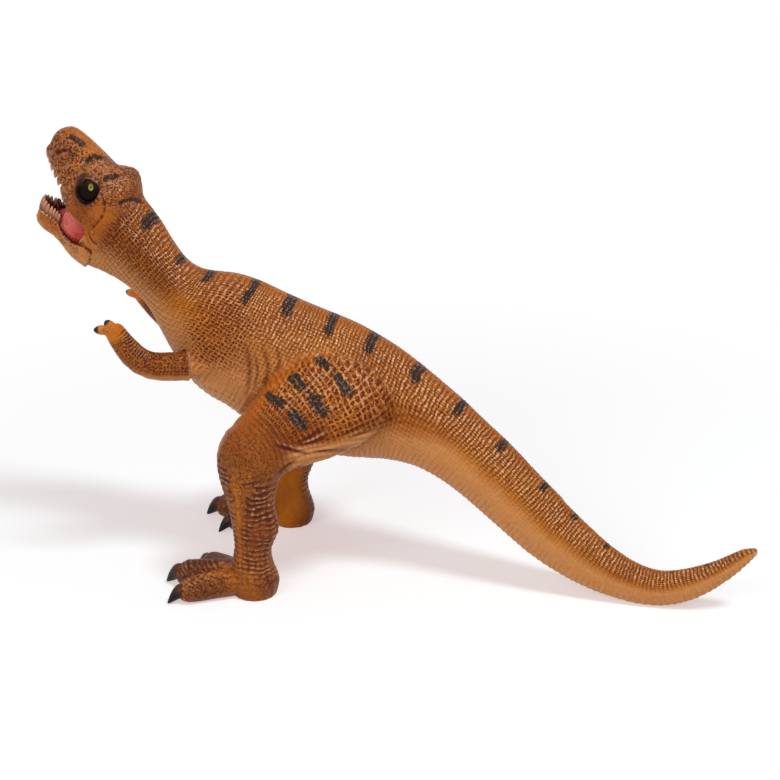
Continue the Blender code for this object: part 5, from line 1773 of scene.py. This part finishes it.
# the steel pin of the jaw keeps its own shape and gets a turned finish
pinLook = {
    "colour": (0.56, 0.56, 0.57, 1), "roughness": (0.24, 0.38),
    "turning": 9000.0, "ringDepth": 0.00002,
}


def finishPin():
    made, tree, shader, place = newMaterial("turnedSteel")
    setPlain(shader, Metallic=1.0)
    apart = addNode(tree, "ShaderNodeSeparateXYZ")
    feed(tree, apart.inputs[0], place)
    rings = calc(tree, "SINE", times(tree, apart.outputs["Y"], pinLook["turning"]))
    mottle = useGroup(tree, mottleGroup, Place=place)
    dark = tuple(level * 0.7 for level in pinLook["colour"][:3]) + (1.0,)
    feed(tree, shader.inputs["Base Color"], blendColour(tree, mottle["Fine"], pinLook["colour"], dark))
    feed(tree, shader.inputs["Roughness"], fade(tree, rings, -1.0, 1.0, *pinLook["roughness"]))
    addBump(tree, shader, rings, pinLook["ringDepth"])
    frame["nodes"]["jaw_pin"].material_slots[0].material = made


finishPin()
print("pin: ready")


stageLook = {
    "floorHalf": 3.0, "nearRadius": 0.19, "farRadius": 0.38,   # metres
    "shadowCast": (0.60, 0.74, 0.76, 1),    # how strongly a shadow shows on the floor
    "ownWhite": (0.53, 0.43, 0.425, 1),
    "bounce": (0.78, 0.77, 0.76, 1),
    "worldLight": 0.26,
}
# place and target in metres, size of the disk in metres, power in watts
lamps = {
    "keyLamp": ((0.88, -0.55, 1.95), (-0.01, 0, 0.06), 0.50, 22.0),
    "fillLamp": ((-0.80, -1.95, 1.15), (-0.01, 0, 0.08), 1.8, 19.0),
}


def seenDirectly(tree):
    # 1 for what the camera sees, straight or in gloss and glass
    rays = addNode(tree, "ShaderNodeLightPath").outputs
    return calc(tree, "MAXIMUM", rays["Is Camera Ray"],
                calc(tree, "MAXIMUM", rays["Is Glossy Ray"], rays["Is Transmission Ray"]))


def addShader(tree, kind, *shaders, **values):
    made = addNode(tree, kind)
    for socket, given in zip([s for s in made.inputs if s.type == "SHADER"], shaders):
        tree.links.new(given, socket)
    for label, given in values.items():
        feed(tree, made.inputs[label], given)
    return made.outputs[0]


def buildFloor():
    mesh = bpy.data.meshes.new("floor")
    with editing(mesh) as form:
        bmesh.ops.create_grid(form, x_segments=1, y_segments=1, size=stageLook["floorHalf"])
    made, tree, shader, place = newMaterial("whiteFloor")
    setPlain(shader, Base_Color=stageLook["shadowCast"], Roughness=0.9, Specular_IOR_Level=0.0)
    # near the figure the floor takes its shadow, further out it is plain white
    own = addShader(tree, "ShaderNodeEmission", Color=stageLook["ownWhite"])
    near = addShader(tree, "ShaderNodeAddShader", shader.outputs[0], own)
    length = addNode(tree, "ShaderNodeVectorMath", operation="LENGTH")
    feed(tree, length.inputs[0], place)
    away = fade(tree, length.outputs["Value"], stageLook["nearRadius"], stageLook["farRadius"])
    far = addShader(tree, "ShaderNodeMixShader", near, addShader(tree, "ShaderNodeEmission"), Fac=away)
    bounce = addShader(tree, "ShaderNodeBsdfDiffuse", Color=stageLook["bounce"])
    floor = addShader(tree, "ShaderNodeMixShader", bounce, far, Fac=seenDirectly(tree))
    tree.links.new(floor, tree.nodes["Material Output"].inputs["Surface"])
    addPiece("floor", mesh, made)


def addLamp(name, place, target, size, power):
    lamp = bpy.data.lights.new(name, "AREA")
    lamp.shape = "DISK"
    lamp.size = size
    lamp.energy = power
    holder = bpy.data.objects.new(name, lamp)
    bpy.context.scene.collection.objects.link(holder)
    holder.location = place
    holder.rotation_mode = "QUATERNION"
    holder.rotation_quaternion = (Vector(target) - Vector(place)).to_track_quat("-Z", "Y")


def buildLight():
    world = bpy.data.worlds.new("studio")
    bpy.context.scene.world = world
    world.use_nodes = True
    tree = world.node_tree
    back = tree.nodes["Background"]
    back.inputs["Color"].default_value = (1, 1, 1, 1)
    feed(tree, back.inputs["Strength"], blendValue(tree, seenDirectly(tree), stageLook["worldLight"], 1.0))
    for name, values in lamps.items():
        addLamp(name, *values)


cameraSetup = {
    "target": (-4.5, 6.0, 82.0),   # mm, what the middle of the picture shows
    "turn": 10.0, "rise": 22.0,    # degrees
    "distance": 930.0,
    "focal": 97.8, "sensor": 36.0, "nearest": 0.01, "furthest": 20.0,
}


def buildCamera():
    turn, rise = radians(cameraSetup["turn"]), radians(cameraSetup["rise"])
    back = Vector((sin(turn) * cos(rise), -cos(turn) * cos(rise), sin(rise)))
    lens = bpy.data.cameras.new("photoCamera")
    lens.lens = cameraSetup["focal"]
    lens.sensor_width = cameraSetup["sensor"]
    lens.clip_start = cameraSetup["nearest"]
    lens.clip_end = cameraSetup["furthest"]
    camera = bpy.data.objects.new("photoCamera", lens)
    bpy.context.scene.collection.objects.link(camera)
    camera.location = (Vector(cameraSetup["target"]) + back * cameraSetup["distance"]) * mm
    camera.rotation_mode = "QUATERNION"
    camera.rotation_quaternion = (-back).to_track_quat("-Z", "Y")
    bpy.context.scene.camera = camera


buildFloor()
buildLight()
buildCamera()
bpy.context.scene.view_settings.view_transform = "Standard"
print("stage: ready")
